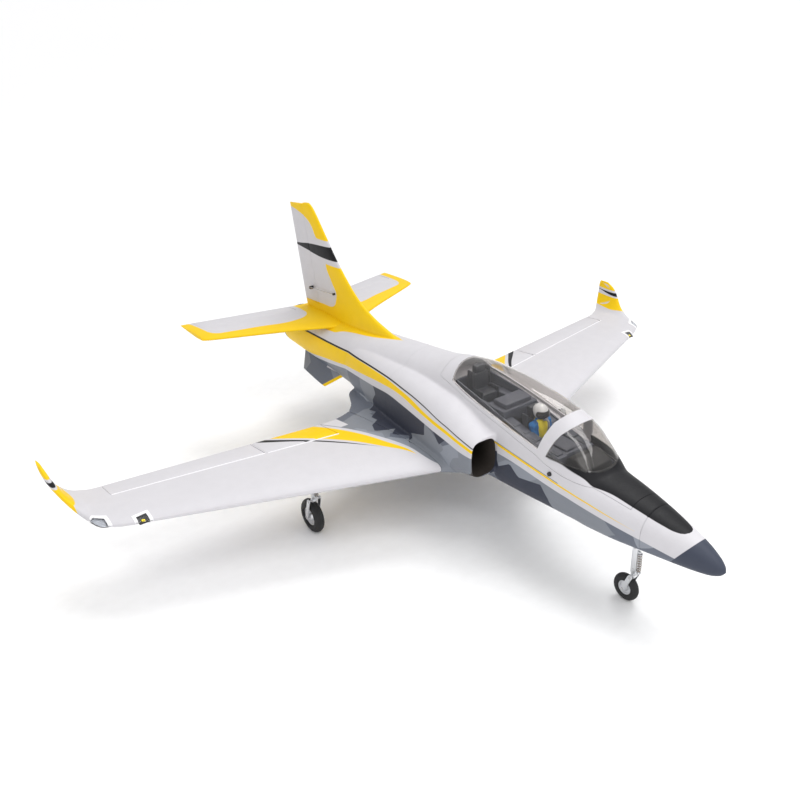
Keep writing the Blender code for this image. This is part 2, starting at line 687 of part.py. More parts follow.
def build_hatch():
    front, rear = HATCH_FRONT_Y + RUNNING_GAP, HATCH_REAR_Y - RUNNING_GAP
    frame = dome("canopy_frame", 0.0030, front, rear, "white_foam")
    keep = above_sill("frame_part", front, rear, HATCH_RIM - RUNNING_GAP)
    combine(frame, keep, "INTERSECT")
    cut(frame, window_guide("windscreen_hole", True), window_guide("canopy_hole", False))
    for name, front, low, high in (("windscreen", True, 0.170, 0.256), ("canopy_glass", False, 0.240, 0.466)):
        glass = dome(name, 0.0012, low, high, "clear_plastic")
        combine(glass, window_guide(f"{name}_guide", front, GAP), "INTERSECT")

    tub = loft("cockpit_tub", [
        [(x * w, y, z) for x, z in ((-1, floor), (1, floor), (1, top), (-1, top))]
        for y, w, floor, top in ((0.188, 0.0290, 0.1500, 0.1700), (0.250, 0.0340, 0.1440, 0.1760),
                                 (0.362, 0.0355, 0.1440, 0.2040), (0.380, 0.0350, 0.1830, 0.2080),
                                 (0.448, 0.0300, 0.1880, 0.2180))], "grey_plastic")
    hollow = loft("tub_hollow", [
        [(x * w, y, z) for x, z in ((-1, floor), (1, floor), (1, top), (-1, top))]
        for y, w, floor, top in ((0.192, 0.0270, 0.1520, 0.230), (0.250, 0.0320, 0.1460, 0.230),
                                 (0.360, 0.0335, 0.1460, 0.230), (0.379, 0.0330, 0.1850, 0.240),
                                 (0.446, 0.0280, 0.1900, 0.250))])
    cut(tub, hollow)

    for name, y, floor, height in (("front_seat", 0.3200, 0.1465, 0.0680),
                                   ("rear_seat", 0.4180, 0.1905, 0.0400)):
        seat = block(name, (-0.0150, y - 0.026, floor), (0.0150, y, floor + 0.012), "grey_plastic", 0.0012)
        back = block(f"{name}_back", (-0.0150, y - 0.008, floor + 0.001), (0.0150, y + 0.004, floor + height),
                     "grey_plastic", 0.0012)
        add(seat, back)

    loft("pilot_body", [
        [(x * w, PILOT_Y + y * d, z)
         for x, y in ((-1, -0.7), (-0.7, -1), (0.7, -1), (1, -0.7), (1, 0.5), (-1, 0.5))]
        for z, w, d in ((0.1595, 0.0120, 0.0090), (0.1870, 0.0155, 0.0095), (0.1970, 0.0140, 0.0080),
                        (0.2015, 0.0065, 0.0055))], "blue_cloth")
    helmet_rings = []
    for k in range(1, 8):
        angle = math.pi * k / 8 - math.pi / 2
        height = HELMET_Z + 1.1 * HELMET_RADIUS * math.sin(angle)
        helmet_rings.append(circle((0, PILOT_Y - 0.001, height), HELMET_RADIUS * math.cos(angle), 2, 14))
    loft("pilot_helmet", helmet_rings, "white_foam")
    block("instrument_panel", (-0.0260, 0.196, 0.1525), (0.0260, 0.232, 0.1790), "dark_plastic", 0.0030)

    rod("hatch_button", (-0.0490, 0.2396, 0.1630), 0.0115, 0.0028, 0, 12, "dark_plastic")


# ---------------------------------------------------------------- fan and electrics
def build_power():
    centre = (0, FAN_Y, FAN_Z)
    wall = [(-0.030, 0.0345), (0.035, 0.0345), (0.035, FAN_RADIUS), (-0.030, FAN_RADIUS)]
    housing = turned("fan_housing", centre, wall, 1, 28, "dark_plastic")
    sleeve_wall = [(0.004, 0.0150), (0.034, 0.0150), (0.034, 0.0165), (0.004, 0.0165)]
    add(housing, turned("stator_sleeve", centre, sleeve_wall, 1, 20, "dark_plastic"))
    for k in range(5):
        vane = block(f"stator_vane_{k}", (-0.0008, 0.006, 0.0158), (0.0008, 0.030, 0.0350))
        vane.data.transform(Matrix.Translation(centre) @ Matrix.Rotation(2 * math.pi * k / 5, 4, "Y"))
        add(housing, vane)

    rod("fan_motor", (0, FAN_Y + 0.0045, FAN_Z), 0.040, 0.0147, 1, 20, "aluminium")

    rings = []
    for t in (0.05, 0.5, 1.0, math.pi / 2):
        nose_y = FAN_Y - 0.0300 + 0.0160 * (1 - math.cos(t))
        rings.append(circle((0, nose_y, FAN_Z), 0.0155 * math.sin(t) + 0.0005, 1, 20))
    rings.append(circle((0, FAN_Y + 0.0035, FAN_Z), 0.0160, 1, 20))
    rotor = loft("fan_rotor", rings, "dark_plastic")
    for k in range(9):
        blade = block(f"fan_blade_{k}", (-0.0007, -0.0080, 0.0140), (0.0007, 0.0080, 0.0338))
        spin = Matrix.Rotation(2 * math.pi * k / 9, 4, "Y") @ Matrix.Rotation(math.radians(38), 4, "Z")
        blade.data.transform(Matrix.Translation((0, FAN_Y - 0.0070, FAN_Z)) @ spin)
        add(rotor, blade)
    hinge_at(rotor, (0, FAN_Y, FAN_Z))

    outer = NOZZLE_RADIUS + 0.0012
    wall = [(0.6620, NOZZLE_RADIUS), (0.9450, NOZZLE_RADIUS), (0.9450, outer), (0.6620, outer)]
    tube = turned("exhaust_tube", (0, 0, 0), wall, 1, 28, "grey_plastic")
    slope = (NOZZLE_Z - 0.1462) / (0.950 - 0.660)
    for vertex in tube.data.vertices:
        vertex.co.z += 0.1462 + slope * (vertex.co.y - 0.660)

    block("battery_tray", (-0.0240, 0.250, 0.0975), (0.0240, 0.382, 0.0990), "dark_plastic")
    block("battery_pack", (-0.0215, 0.256, 0.0994), (0.0215, 0.378, 0.1254), "battery_wrap", 0.0020)
    block("speed_controller", (-0.0150, 0.256, 0.1259), (0.0150, 0.312, 0.1389), "dark_plastic", 0.0010)
    block("receiver", (-0.0120, 0.322, 0.1259), (0.0120, 0.368, 0.1379), "dark_plastic", 0.0010)
    spar_rod("wing_spar", SPAR_RADIUS)


# ---------------------------------------------------------------- landing gear
def wheel(name, centre, radius, half_width, hub_radius, bore):
    """A tyre and its hub, turned about the axle."""
    steps = 6
    profile = [(half_width * 0.75, hub_radius + GAP)]
    for i in range(steps + 1):
        angle = math.pi * i / steps
        depth = radius - hub_radius - 0.003
        profile.append((half_width * math.cos(angle), radius - depth + depth * math.sin(angle)))
    profile.append((-half_width * 0.75, hub_radius + GAP))
    hinge_at(turned(f"{name}_tyre", centre, profile, 0, 28, "rubber"), centre)
    w = half_width * 0.80
    outline = [(w, bore), (w, hub_radius * 0.45), (w * 0.55, hub_radius * 0.60), (w * 0.75, hub_radius)]
    outline += [(-along, reach) for along, reach in reversed(outline)]
    hinge_at(turned(f"{name}_hub", centre, outline, 0, 24, "aluminium"), centre)


def fork(name, knee, axle, half_width, plate):
    """A trailing fork: two side plates, the knee pin and the axle."""
    inner = half_width + 0.0010
    arm = None
    for side, tag in ((1, "a"), (-1, "b")):
        run = Vector((0, axle[1] - knee[1], axle[2] - knee[2])).normalized()
        across = Vector((0, -run.z, run.y)) * 0.0032
        ends = [Vector(knee) - run * 0.0030, Vector(axle) + run * 0.0030]
        corners = [ends[0] + across, ends[1] + across, ends[1] - across, ends[0] - across]
        low, high = sorted((side * inner, side * (inner + plate)))
        piece = prism(name if arm is None else f"{name}_plate_{tag}", [(c.y, c.z) for c in corners], 0,
                      knee[0] + low, knee[0] + high, "aluminium")
        arm = piece if arm is None else add(arm, piece)
    pin_length = 2 * (inner + plate * 0.5)
    for label, spot, radius in (("knee_pin", knee, 0.0016), ("axle", axle, 0.0018)):
        pin = rod(f"{name}_{label}", (spot[0] - pin_length / 2, spot[1], spot[2]), pin_length, radius, 0, 10)
        add(arm, pin)
    return arm


def strut(name, top_z, knee, width, depth, lug=0.0040):
    """A flat leg down to the knee, with a coil-over shock absorber on its front."""
    x, y = knee[0], knee[1]
    leg = block(name, (x - width, y - depth, knee[2] + 0.0025), (x + width, y + depth, top_z),
                "aluminium", 0.0006)
    eye = rod(f"{name}_eye", (x - lug, y, knee[2]), 2 * lug, 0.0036, 0, 12)
    eye_bore = rod(f"{name}_bore", (x - 0.02, y, knee[2]), 0.04, 0.0019, 0, 12)
    shock_y = y - depth - 0.0032
    shock = rod(f"{name}_shock", (x, shock_y, knee[2] + 0.0090), top_z - knee[2] - 0.0230, 0.0028, 2, 12)
    lugs = [block(f"{name}_lug_{i}", (x - 0.0015, shock_y - 0.0010, z), (x + 0.0015, y, z + 0.0040))
            for i, z in enumerate((knee[2] + 0.0070, top_z - 0.0155))]
    add(leg, eye, shock, *lugs)
    cut(leg, eye_bore)
    return leg


def retract_unit(name, centre, across, along, ear_gap, pin_radius):
    """The fixed half of a retract: a block beside the leg with two ears and the pivot pin."""
    cx, cy, cz = centre
    if across == "Y":
        side = along
        body = sorted((cx + side * 0.0075, cx + side * 0.0290))
        unit = block(name, (body[0], cy - 0.0115, cz - 0.0060), (body[1], cy + 0.0115, cz + 0.0105),
                     "dark_plastic")
        ear = sorted((cx - side * 0.0045, cx + side * 0.0090))
        for tag, low, high in (("fore", -0.0115, -ear_gap), ("aft", ear_gap, 0.0115)):
            add(unit, block(f"{name}_{tag}", (ear[0], cy + low, cz - 0.0045),
                            (ear[1], cy + high, cz + 0.0060)))
        add(unit, rod(f"{name}_pin", (cx, cy - 0.0100, cz), 0.0200, pin_radius, 1, 10))
        return unit
    unit = block(name, (cx - 0.0125, cy - 0.0225, cz - 0.0060), (cx + 0.0125, cy - 0.0075, cz + 0.0120),
                 "dark_plastic")
    for tag, low, high in (("left", ear_gap, 0.0125), ("right", -0.0125, -ear_gap)):
        add(unit, block(f"{name}_{tag}", (cx + low, cy - 0.0090, cz - 0.0045),
                        (cx + high, cy + 0.0045, cz + 0.0060)))
    add(unit, rod(f"{name}_pin", (cx - 0.0110, cy, cz), 0.0220, pin_radius, 0, 10))
    return unit


def build_main_gear(side, tag):
    pivot = (side * MAIN_GEAR_X, MAIN_GEAR_Y, MAIN_PIVOT_Z)
    knee = (side * MAIN_GEAR_X, MAIN_GEAR_Y, MAIN_KNEE_Z)
    axle = (side * MAIN_GEAR_X, MAIN_AXLE_Y, MAIN_WHEEL_RADIUS)
    retract_unit(f"main_retract_{tag}", pivot, "Y", side, 0.0082, 0.0016)
    leg = strut(f"main_strut_{tag}", MAIN_PIVOT_Z - 0.0020, knee, 0.0028, 0.0048)
    barrel = rod(f"main_barrel_{tag}", (pivot[0], pivot[1] - 0.0076, pivot[2]), 0.0152, 0.0042, 1, 12)
    bore = rod(f"main_bore_{tag}", (pivot[0], pivot[1] - 0.02, pivot[2]), 0.04, 0.0019, 1, 12)
    cut(add(leg, barrel), bore)
    hinge_at(leg, pivot)
    hinge_at(fork(f"main_fork_{tag}", knee, axle, 0.0078, 0.0014), knee)
    wheel(f"main_{tag}", axle, MAIN_WHEEL_RADIUS, 0.0075, 0.0140, 0.0021)


def build_nose_gear():
    pivot = (0, NOSE_GEAR_Y, NOSE_PIVOT_Z)
    knee = (0, NOSE_GEAR_Y - 0.0020, NOSE_KNEE_Z)
    axle = (0, NOSE_AXLE_Y, NOSE_WHEEL_RADIUS)
    retract_unit("nose_retract", pivot, "X", 1, 0.0088, 0.0016)
    trunnion = rod("nose_trunnion", (-0.0082, pivot[1], pivot[2]), 0.0164, 0.0042, 0, 12)
    sleeve = rod("trunnion_sleeve", (0, pivot[1] - 0.0020, pivot[2] - 0.0120), 0.0115, 0.0042, 2, 12)
    spindle_bore = rod("spindle_bore", (0, pivot[1] - 0.0020, pivot[2] - 0.02), 0.0155, 0.0021, 2, 12)
    pivot_bore = rod("trunnion_bore", (-0.02, pivot[1], pivot[2]), 0.04, 0.0019, 0, 12)
    cut(add(trunnion, sleeve), spindle_bore, pivot_bore)
    hinge_at(trunnion, pivot)
    top = pivot[2] - 0.0120 - RUNNING_GAP
    leg = strut("nose_strut", top, knee, 0.0026, 0.0042)
    add(leg, rod("nose_spindle", (0, knee[1], top - 0.002), 0.0090, 0.0018, 2, 12))
    hinge_at(leg, (0, knee[1], top))
    hinge_at(fork("nose_fork", knee, axle, 0.0062, 0.0013), knee)
    wheel("nose", axle, NOSE_WHEEL_RADIUS, 0.0060, 0.0100, 0.0021)


# ---------------------------------------------------------------- the whole model
def build_model():
    global DATUM
    clear_scene()
    DATUM = bpy.data.objects.new("datum", None)
    DATUM.location = (0, -LENGTH / 2, 0)
    bpy.context.scene.collection.objects.link(DATUM)
    build_nose()
    build_fuselage()
    for side, tag in ((1, "left"), (-1, "right")):
        build_wing(side, tag)
        build_main_gear(side, tag)
    build_tail()
    build_hatch()
    build_power()
    build_nose_gear()


build_model()
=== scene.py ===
"""The looks of a ducted-fan radio-control jet: painted foam skins, cockpit, sprung gear, lights and linkages.

Every outline is written in stations: x from the middle, y behind the nose tip, z above the ground. The function
place() turns a station into the frame's coordinates.
"""

import math

import bmesh
import bpy
from mathutils import Matrix, Vector


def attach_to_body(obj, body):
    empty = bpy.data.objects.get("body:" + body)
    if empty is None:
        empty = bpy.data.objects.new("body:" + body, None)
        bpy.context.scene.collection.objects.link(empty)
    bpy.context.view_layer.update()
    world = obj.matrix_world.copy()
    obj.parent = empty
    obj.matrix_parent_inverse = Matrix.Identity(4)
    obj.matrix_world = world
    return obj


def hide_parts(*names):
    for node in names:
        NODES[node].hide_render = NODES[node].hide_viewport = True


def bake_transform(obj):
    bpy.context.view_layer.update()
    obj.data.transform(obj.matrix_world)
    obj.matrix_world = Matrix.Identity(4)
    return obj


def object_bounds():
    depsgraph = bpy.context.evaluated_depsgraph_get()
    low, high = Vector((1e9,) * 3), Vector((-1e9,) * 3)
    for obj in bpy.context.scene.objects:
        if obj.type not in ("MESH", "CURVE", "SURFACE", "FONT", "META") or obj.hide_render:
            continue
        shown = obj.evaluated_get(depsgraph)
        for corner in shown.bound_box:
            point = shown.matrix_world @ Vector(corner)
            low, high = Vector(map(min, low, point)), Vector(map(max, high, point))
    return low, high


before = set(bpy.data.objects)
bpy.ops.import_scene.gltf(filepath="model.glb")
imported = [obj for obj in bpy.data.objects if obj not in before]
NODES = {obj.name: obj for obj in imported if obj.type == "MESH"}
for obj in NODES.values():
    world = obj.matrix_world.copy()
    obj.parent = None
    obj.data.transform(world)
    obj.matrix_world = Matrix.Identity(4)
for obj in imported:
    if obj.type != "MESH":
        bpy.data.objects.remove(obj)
CAD_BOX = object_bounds()
NOSE_Y = CAD_BOX[0].y
SIDES = ((1, "left"), (-1, "right"))

# ---------------------------------------------------------------- dimensions shared with the CAD model
GAP = 0.0003
RUNNING_GAP = 0.0006
NOSE_JOINT_Y = 0.100
BODY_JOINT_Y = 0.560
TAIL_END_Y = 0.940

# y, half width, bottom, crown, height of the widest point, roundness of the section
FUSELAGE = [
    (0.000, 0.0015, 0.1205, 0.1235, 0.1220, 2.00),
    (0.004, 0.0065, 0.1155, 0.1290, 0.1218, 2.00),
    (0.015, 0.0125, 0.1105, 0.1370, 0.1220, 2.00),
    (0.033, 0.0187, 0.1075, 0.1447, 0.1235, 2.05),
    (0.060, 0.0253, 0.1045, 0.1525, 0.1260, 2.10),
    (0.100, 0.0330, 0.1005, 0.1620, 0.1295, 2.20),
    (0.150, 0.0410, 0.0955, 0.1705, 0.1330, 2.30),
    (0.178, 0.0440, 0.0935, 0.1745, 0.1360, 2.30),
    (0.190, 0.0450, 0.0925, 0.1880, 0.1370, 2.25),
    (0.205, 0.0460, 0.0920, 0.2070, 0.1380, 2.20),
    (0.225, 0.0475, 0.0910, 0.2250, 0.1390, 2.20),
    (0.246, 0.0485, 0.0900, 0.2350, 0.1400, 2.20),
    (0.300, 0.0510, 0.0870, 0.2445, 0.1430, 2.20),
    (0.360, 0.0530, 0.0840, 0.2495, 0.1470, 2.20),
    (0.410, 0.0540, 0.0820, 0.2490, 0.1490, 2.20),
    (0.457, 0.0540, 0.0810, 0.2425, 0.1510, 2.20),
    (0.510, 0.0535, 0.0815, 0.2305, 0.1520, 2.20),
    (0.600, 0.0520, 0.0870, 0.2195, 0.1530, 2.20),
    (0.700, 0.0490, 0.0980, 0.2085, 0.1545, 2.15),
    (0.800, 0.0445, 0.1080, 0.2000, 0.1555, 2.10),
    (0.900, 0.0395, 0.1145, 0.1925, 0.1540, 2.05),
    (0.940, 0.0370, 0.1165, 0.1890, 0.1530, 2.00),
]
# y, centre x, centre z, half width, half height of each intake cowl
COWL = [
    (0.341, 0.0520, 0.1510, 0.0420, 0.0300),
    (0.360, 0.0520, 0.1505, 0.0427, 0.0345),
    (0.390, 0.0510, 0.1500, 0.0430, 0.0450),
    (0.430, 0.0500, 0.1500, 0.0425, 0.0540),
    (0.500, 0.0450, 0.1500, 0.0410, 0.0560),
    (0.580, 0.0360, 0.1500, 0.0380, 0.0520),
    (0.660, 0.0260, 0.1510, 0.0340, 0.0460),
    (0.730, 0.0170, 0.1520, 0.0280, 0.0380),
]
# y, centre x, centre z, half width, half height of each air duct, from lip to fan
DUCT = [
    (0.335, 0.0710, 0.1510, 0.0218, 0.0272),
    (0.360, 0.0700, 0.1500, 0.0210, 0.0272),
    (0.400, 0.0620, 0.1480, 0.0220, 0.0270),
    (0.450, 0.0480, 0.1465, 0.0245, 0.0280),
    (0.500, 0.0310, 0.1460, 0.0280, 0.0300),
    (0.550, 0.0120, 0.1460, 0.0320, 0.0335),
    (0.590, 0.0000, 0.1460, 0.0362, 0.0362),
]
INTAKE_POWER = 2.5
PUSHROD_RADIUS = 0.0006
HATCH_Y = (0.122, 0.475)
HATCH_RIM = 0.009
SILL = [(0.122, 0.1665), (0.150, 0.1705), (0.178, 0.1735), (0.220, 0.1760), (0.250, 0.1815), (0.265, 0.1870),
        (0.330, 0.2020), (0.440, 0.2226), (0.475, 0.2270)]
# the edges of the windscreen and of the long canopy seen from the side, as (y, z)
WINDSCREEN_EDGE = [(0.172, 0.1765), (0.180, 0.1765), (0.186, 0.1790), (0.200, 0.1815), (0.214, 0.1826),
                   (0.251, 0.1832), (0.2475, 0.1940), (0.2435, 0.2046), (0.2380, 0.2150), (0.2225, 0.2330),
                   (0.2215, 0.2700), (0.172, 0.2700)]
CANOPY_EDGE = [(0.266, 0.1870), (0.330, 0.1985), (0.353, 0.2025), (0.446, 0.2198), (0.461, 0.2700),
               (0.244, 0.2700), (0.244, 0.2380), (0.2547, 0.2246), (0.2610, 0.2070)]

WING_ROOT_X = 0.0985
AILERON_X = (0.2700, 0.4830)
FLAP_X = (0.1570, 0.2680)
ELEVATOR_X = (0.0325, 0.1985)
RUDDER_Z = (0.2120, 0.3880)
LANDING_LIGHT_X = 0.4715
NAV_LIGHT_PLAN = ((0.5082, 0.5390), (0.5217, 0.5390), (0.5365, 0.5782), (0.5216, 0.5854), (0.5082, 0.5744))
NAV_RIM_PLAN = ((0.5062, 0.5370), (0.5240, 0.5370), (0.5390, 0.5790), (0.5214, 0.5878), (0.5062, 0.5765))
NAV_OPENING_PLAN = ((0.5108, 0.5340), (0.5260, 0.5340), (0.5400, 0.5772), (0.5214, 0.5828), (0.5108, 0.5725))
# leading edge, trailing edge and thickness of the sections from the wing's end up to the winglet's tip
WINGLET = [
    ((0.5080, 0.5582, 0.1208), (0.5080, 0.6680, 0.1220), 0.0112),
    ((0.5200, 0.5675, 0.1216), (0.5200, 0.6735, 0.1240), 0.0105),
    ((0.5290, 0.5960, 0.1265), (0.5300, 0.6800, 0.1300), 0.0092),
    ((0.5375, 0.6225, 0.1370), (0.5385, 0.6860, 0.1395), 0.0078),
    ((0.5455, 0.6405, 0.1530), (0.5460, 0.6900, 0.1545), 0.0068),
    ((0.5490, 0.6540, 0.1660), (0.5492, 0.6915, 0.1670), 0.0058),
    ((0.5500, 0.6700, 0.1745), (0.5500, 0.6890, 0.1750), 0.0030),
]
# height, leading edge, trailing edge, thickness
FIN = [
    (0.1900, 0.6000, 0.9030, 0.0190),
    (0.2120, 0.6240, 0.9085, 0.0160),
    (0.2320, 0.6930, 0.9120, 0.0125),
    (0.2573, 0.7440, 0.9162, 0.0110),
    (0.3038, 0.7953, 0.9240, 0.0100),
    (0.3400, 0.8255, 0.9300, 0.0090),
    (0.3800, 0.8590, 0.9366, 0.0076),
    (0.3895, 0.8730, 0.9360, 0.0040),
]
# x, leading edge, trailing edge, height, thickness
TAILPLANE = [
    (0.0000, 0.7720, 0.9150, 0.1965, 0.0115),
    (0.0310, 0.7870, 0.9212, 0.1963, 0.0110),
    (0.1000, 0.8252, 0.9396, 0.1950, 0.0095),
    (0.2050, 0.8750, 0.9676, 0.1938, 0.0072),
    (0.2170, 0.8850, 0.9692, 0.1937, 0.0030),
]
FAN_Z, FAN_RADIUS = 0.1460, 0.0360
# y and z of the exhaust tube's ends
NOZZLE_FRONT, NOZZLE_REAR, NOZZLE_RADIUS = (0.660, 0.1462), (0.950, 0.1525), 0.0325
LATCH_Y, LATCH_Z, LATCH_RADIUS = 0.2396, 0.1630, 0.0028
# x and y of the servos under each wing
SERVOS = (("aileron", 0.330, 0.513), ("flap", 0.190, 0.477))
RUDDER_NOSE_RADIUS = 0.0038
MAIN_GEAR_X, MAIN_GEAR_Y, MAIN_PIVOT_Z = 0.231, 0.531, 0.1085
MAIN_AXLE_Y, MAIN_WHEEL_RADIUS, MAIN_KNEE_Z = 0.540, 0.0265, 0.0580
# room round a folded main wheel: all round, outwards, aft and above its middle
WELL_GAP, WELL_SHIFT, WELL_AFT, WELL_ROOM = 0.0014, 0.0004, 0.0022, 0.0110
NOSE_GEAR_Y, NOSE_PIVOT_Z = 0.130, 0.1080
NOSE_AXLE_Y, NOSE_WHEEL_RADIUS, NOSE_KNEE_Z = 0.138, 0.0195, 0.0430
PILOT_Y, HELMET_Z, HELMET_RADIUS = 0.3060, 0.2122, 0.0102

# ---------------------------------------------------------------- fineness of the meshes
BODY_SIDES = 128
BODY_STEP = 0.004
SKIN_VOXEL = 0.0016
SKIN_SMOOTHING = 5
CHORD_STEPS = 26
SHARP_ANGLE = math.radians(35)
FLOOR_REACH = 90

# ---------------------------------------------------------------- colours
WHITE = (0.60, 0.588, 0.615)
YELLOW = (0.86, 0.56, 0.003)
BLACK = (0.006, 0.006, 0.008)
GREY = (0.21, 0.225, 0.255)
DARK = (0.038, 0.043, 0.064)
NOSE_BLUE = (0.050, 0.058, 0.084)


# ---------------------------------------------------------------- mesh helpers
def place(point):
    """A station in the frame's coordinates."""
    return Vector((point[0], point[1] + NOSE_Y, point[2]))


def interpolate(table, station, column):
    """Read one column of a table at a station, on a smooth curve that never overshoots its rows."""
    if station <= table[0][0]:
        return table[0][column]
    if station >= table[-1][0]:
        return table[-1][column]
    row = max(i for i in range(len(table) - 1) if table[i][0] <= station)

    def chord_slope(i):
        return (table[i + 1][column] - table[i][column]) / (table[i + 1][0] - table[i][0])

    def slope(i):
        if i == 0:
            return chord_slope(0)
        if i == len(table) - 1:
            return chord_slope(i - 1)
        before, after = chord_slope(i - 1), chord_slope(i)
        return 0.0 if before * after <= 0 else 2 * before * after / (before + after)

    span = table[row + 1][0] - table[row][0]
    t = (station - table[row][0]) / span
    start, end = table[row][column], table[row + 1][column]
    return ((2 * t**3 - 3 * t**2 + 1) * start + (t**3 - 2 * t**2 + t) * span * slope(row)
            + (3 * t**2 - 2 * t**3) * end + (t**3 - t**2) * span * slope(row + 1))


def spread(start, end, step):
    """Even stations from start to end, about a step apart."""
    count = max(2, round((end - start) / step) + 1)
    return [start + (end - start) * i / (count - 1) for i in range(count)]


def show(item):
    bpy.context.scene.collection.objects.link(item)
    return item


def make_piece(name, points, faces, material=None, smooth=True):
    """One mesh object in the frame, from points in stations."""
    mesh = bpy.data.meshes.new(name)
    mesh.from_pydata([place(p) for p in points], [], faces)
    work = bmesh.new()
    work.from_mesh(mesh)
    bmesh.ops.recalc_face_normals(work, faces=work.faces)
    work.to_mesh(mesh)
    work.free()
    item = show(bpy.data.objects.new(name, mesh))
    if material:
        mesh.materials.append(MATERIALS[material])
    if smooth:
        soften(item)
    return item


def soften(item):
    item.data.shade_smooth()
    item.data.set_sharp_from_angle(angle=SHARP_ANGLE)


def loft_shape(rings, closed=True):
    """Points and faces of a skin through rings, with its ends closed."""
    count = len(rings[0])
    points = [p for ring in rings for p in ring]
    faces = []
    for r in range(len(rings) - 1):
        for i in range(count):
            j = (i + 1) % count
            faces.append((r * count + i, r * count + j, (r + 1) * count + j, (r + 1) * count + i))
    if closed:
        faces.append(tuple(range(count)))
        faces.append(tuple(range((len(rings) - 1) * count, len(rings) * count)))
    return points, faces


def prism_shape(outline, axis, low, high):
    """An outline in the plane square to an axis (0 is X, 1 is Y, 2 is Z), extruded from low to high."""
    def lift(pair, depth):
        values = list(pair)
        values.insert(axis, depth)
        return values
    return loft_shape([[lift(p, low) for p in outline], [lift(p, high) for p in outline]])


def box_shape(low, high):
    outline = [(low[0], low[1]), (high[0], low[1]), (high[0], high[1]), (low[0], high[1])]
    return prism_shape(outline, 2, low[2], high[2])


def side_box(side, low, high):
    """A box given for the port side, mirrored to the starboard side when side is -1."""
    low_x, high_x = sorted((side * low[0], side * high[0]))
    return box_shape((low_x, *low[1:]), (high_x, *high[1:]))


def circle(centre, radius, axis, sides):
    """Points of a circle square to an axis."""
    points = []
    for i in range(sides):
        angle = 2 * math.pi * i / sides
        pair = [radius * math.cos(angle), radius * math.sin(angle)]
        pair.insert(axis, 0.0)
        points.append([centre[k] + pair[k] for k in range(3)])
    return points


def rod_shape(start, length, radius, axis, sides=24, rim=0.0003):
    """A cylinder along an axis, with its rims rounded off."""
    rings = []
    for along, reach in ((0, radius - rim), (rim, radius), (length - rim, radius), (length, radius - rim)):
        centre = list(start)
        centre[axis] += along
        rings.append(circle(centre, reach, axis, sides))
    return loft_shape(rings)


def turned_shape(centre, profile, axis, sides):
    """A ring turned about an axis through centre. The profile is a closed outline of (along, radius)."""
    points, faces = [], []
    count = len(profile)
    for i in range(sides):
        angle = 2 * math.pi * i / sides
        for along, radius in profile:
            pair = [radius * math.cos(angle), radius * math.sin(angle)]
            pair.insert(axis, along)
            points.append([centre[k] + pair[k] for k in range(3)])
    for i in range(sides):
        j = (i + 1) % sides
        for k in range(count):
            m = (k + 1) % count
            faces.append((i * count + k, i * count + m, j * count + m, j * count + k))
    return points, faces


def tube_shape(path, radius, sides=10):
    """A round tube along a path of points."""
    path = [Vector(p) for p in path]
    side = None
    rings = []
    for i, point in enumerate(path):
        run = (path[min(i + 1, len(path) - 1)] - path[max(i - 1, 0)]).normalized()
        guess = side if side is not None else (Vector((1, 0, 0)) if abs(run.x) < 0.9 else Vector((0, 0, 1)))
        side = (guess - run * guess.dot(run)).normalized()
        up = run.cross(side)
        rings.append([point + (side * math.cos(2 * math.pi * k / sides) + up * math.sin(2 * math.pi * k / sides))
                      * radius for k in range(sides)])
    return loft_shape(rings)


def ball_shape(centre, radii, sides=28, bands=16, low=-math.pi / 2, high=math.pi / 2):
    """A ball or a slice of one, squashed to three radii."""
    rings = []
    for k in range(bands + 1):
        angle = low + (high - low) * k / bands
        reach = max(math.cos(angle), 0.02)
        rings.append([(centre[0] + radii[0] * reach * math.cos(2 * math.pi * i / sides),
                       centre[1] + radii[1] * reach * math.sin(2 * math.pi * i / sides),
                       centre[2] + radii[2] * math.sin(angle)) for i in range(sides)])
    return loft_shape(rings)


def joined_shape(shapes):
    points, faces = [], []
    for shape_points, shape_faces in shapes:
        start = len(points)
        points += list(shape_points)
        faces += [tuple(start + k for k in face) for face in shape_faces]
    return points, faces


def build(name, body, material, *shapes, bevel=0.0, replaces=(), slot=None):
    """One piece made of several shapes, with its edges rounded, riding on a body if one is named."""
    item = make_piece(name, *joined_shape(shapes), material)
    if bevel:
        modifier = item.modifiers.new("bevel", "BEVEL")
        modifier.width = bevel
        modifier.segments = 3
        modifier.limit_method = "ANGLE"
        modifier.angle_limit = SHARP_ANGLE
        apply_modifiers(item)
        soften(item)
    return attach(item, body, replaces, slot)


def attach(item, body, replaces=(), slot=None):
    """Put a piece on its body and in the place of the CAD nodes that it stands for."""
    if body:
        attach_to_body(item, body)
    slot = slot or SLOT_OF[item.data.materials[0].name]
    if replaces:
        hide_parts(*replaces)
    return item


def apply_modifiers(item):
    mesh = bpy.data.meshes.new_from_object(item.evaluated_get(bpy.context.evaluated_depsgraph_get()))
    old = item.data
    item.modifiers.clear()
    item.data = mesh
    bpy.data.meshes.remove(old)


def combine(target, operation, *shapes):
    """Join, cut or keep the common part of a piece with shapes, and make the result its mesh."""
    helpers = []
    for shape in shapes:
        helper = make_piece("helper", *shape, smooth=False)
        modifier = target.modifiers.new("boolean", "BOOLEAN")
        modifier.operation = operation
        modifier.solver = "MANIFOLD"
        modifier.object = helper
        helpers.append(helper)
    apply_modifiers(target)
    for helper in helpers:
        mesh = helper.data
        bpy.data.objects.remove(helper)
        bpy.data.meshes.remove(mesh)
    soften(target)
    return target


# ---------------------------------------------------------------- body sections
def rounded(value, power):
    """A sine or cosine, raised so that the oval it draws turns squarer as power rises above 2."""
    return math.copysign(abs(value) ** (2 / power), value)


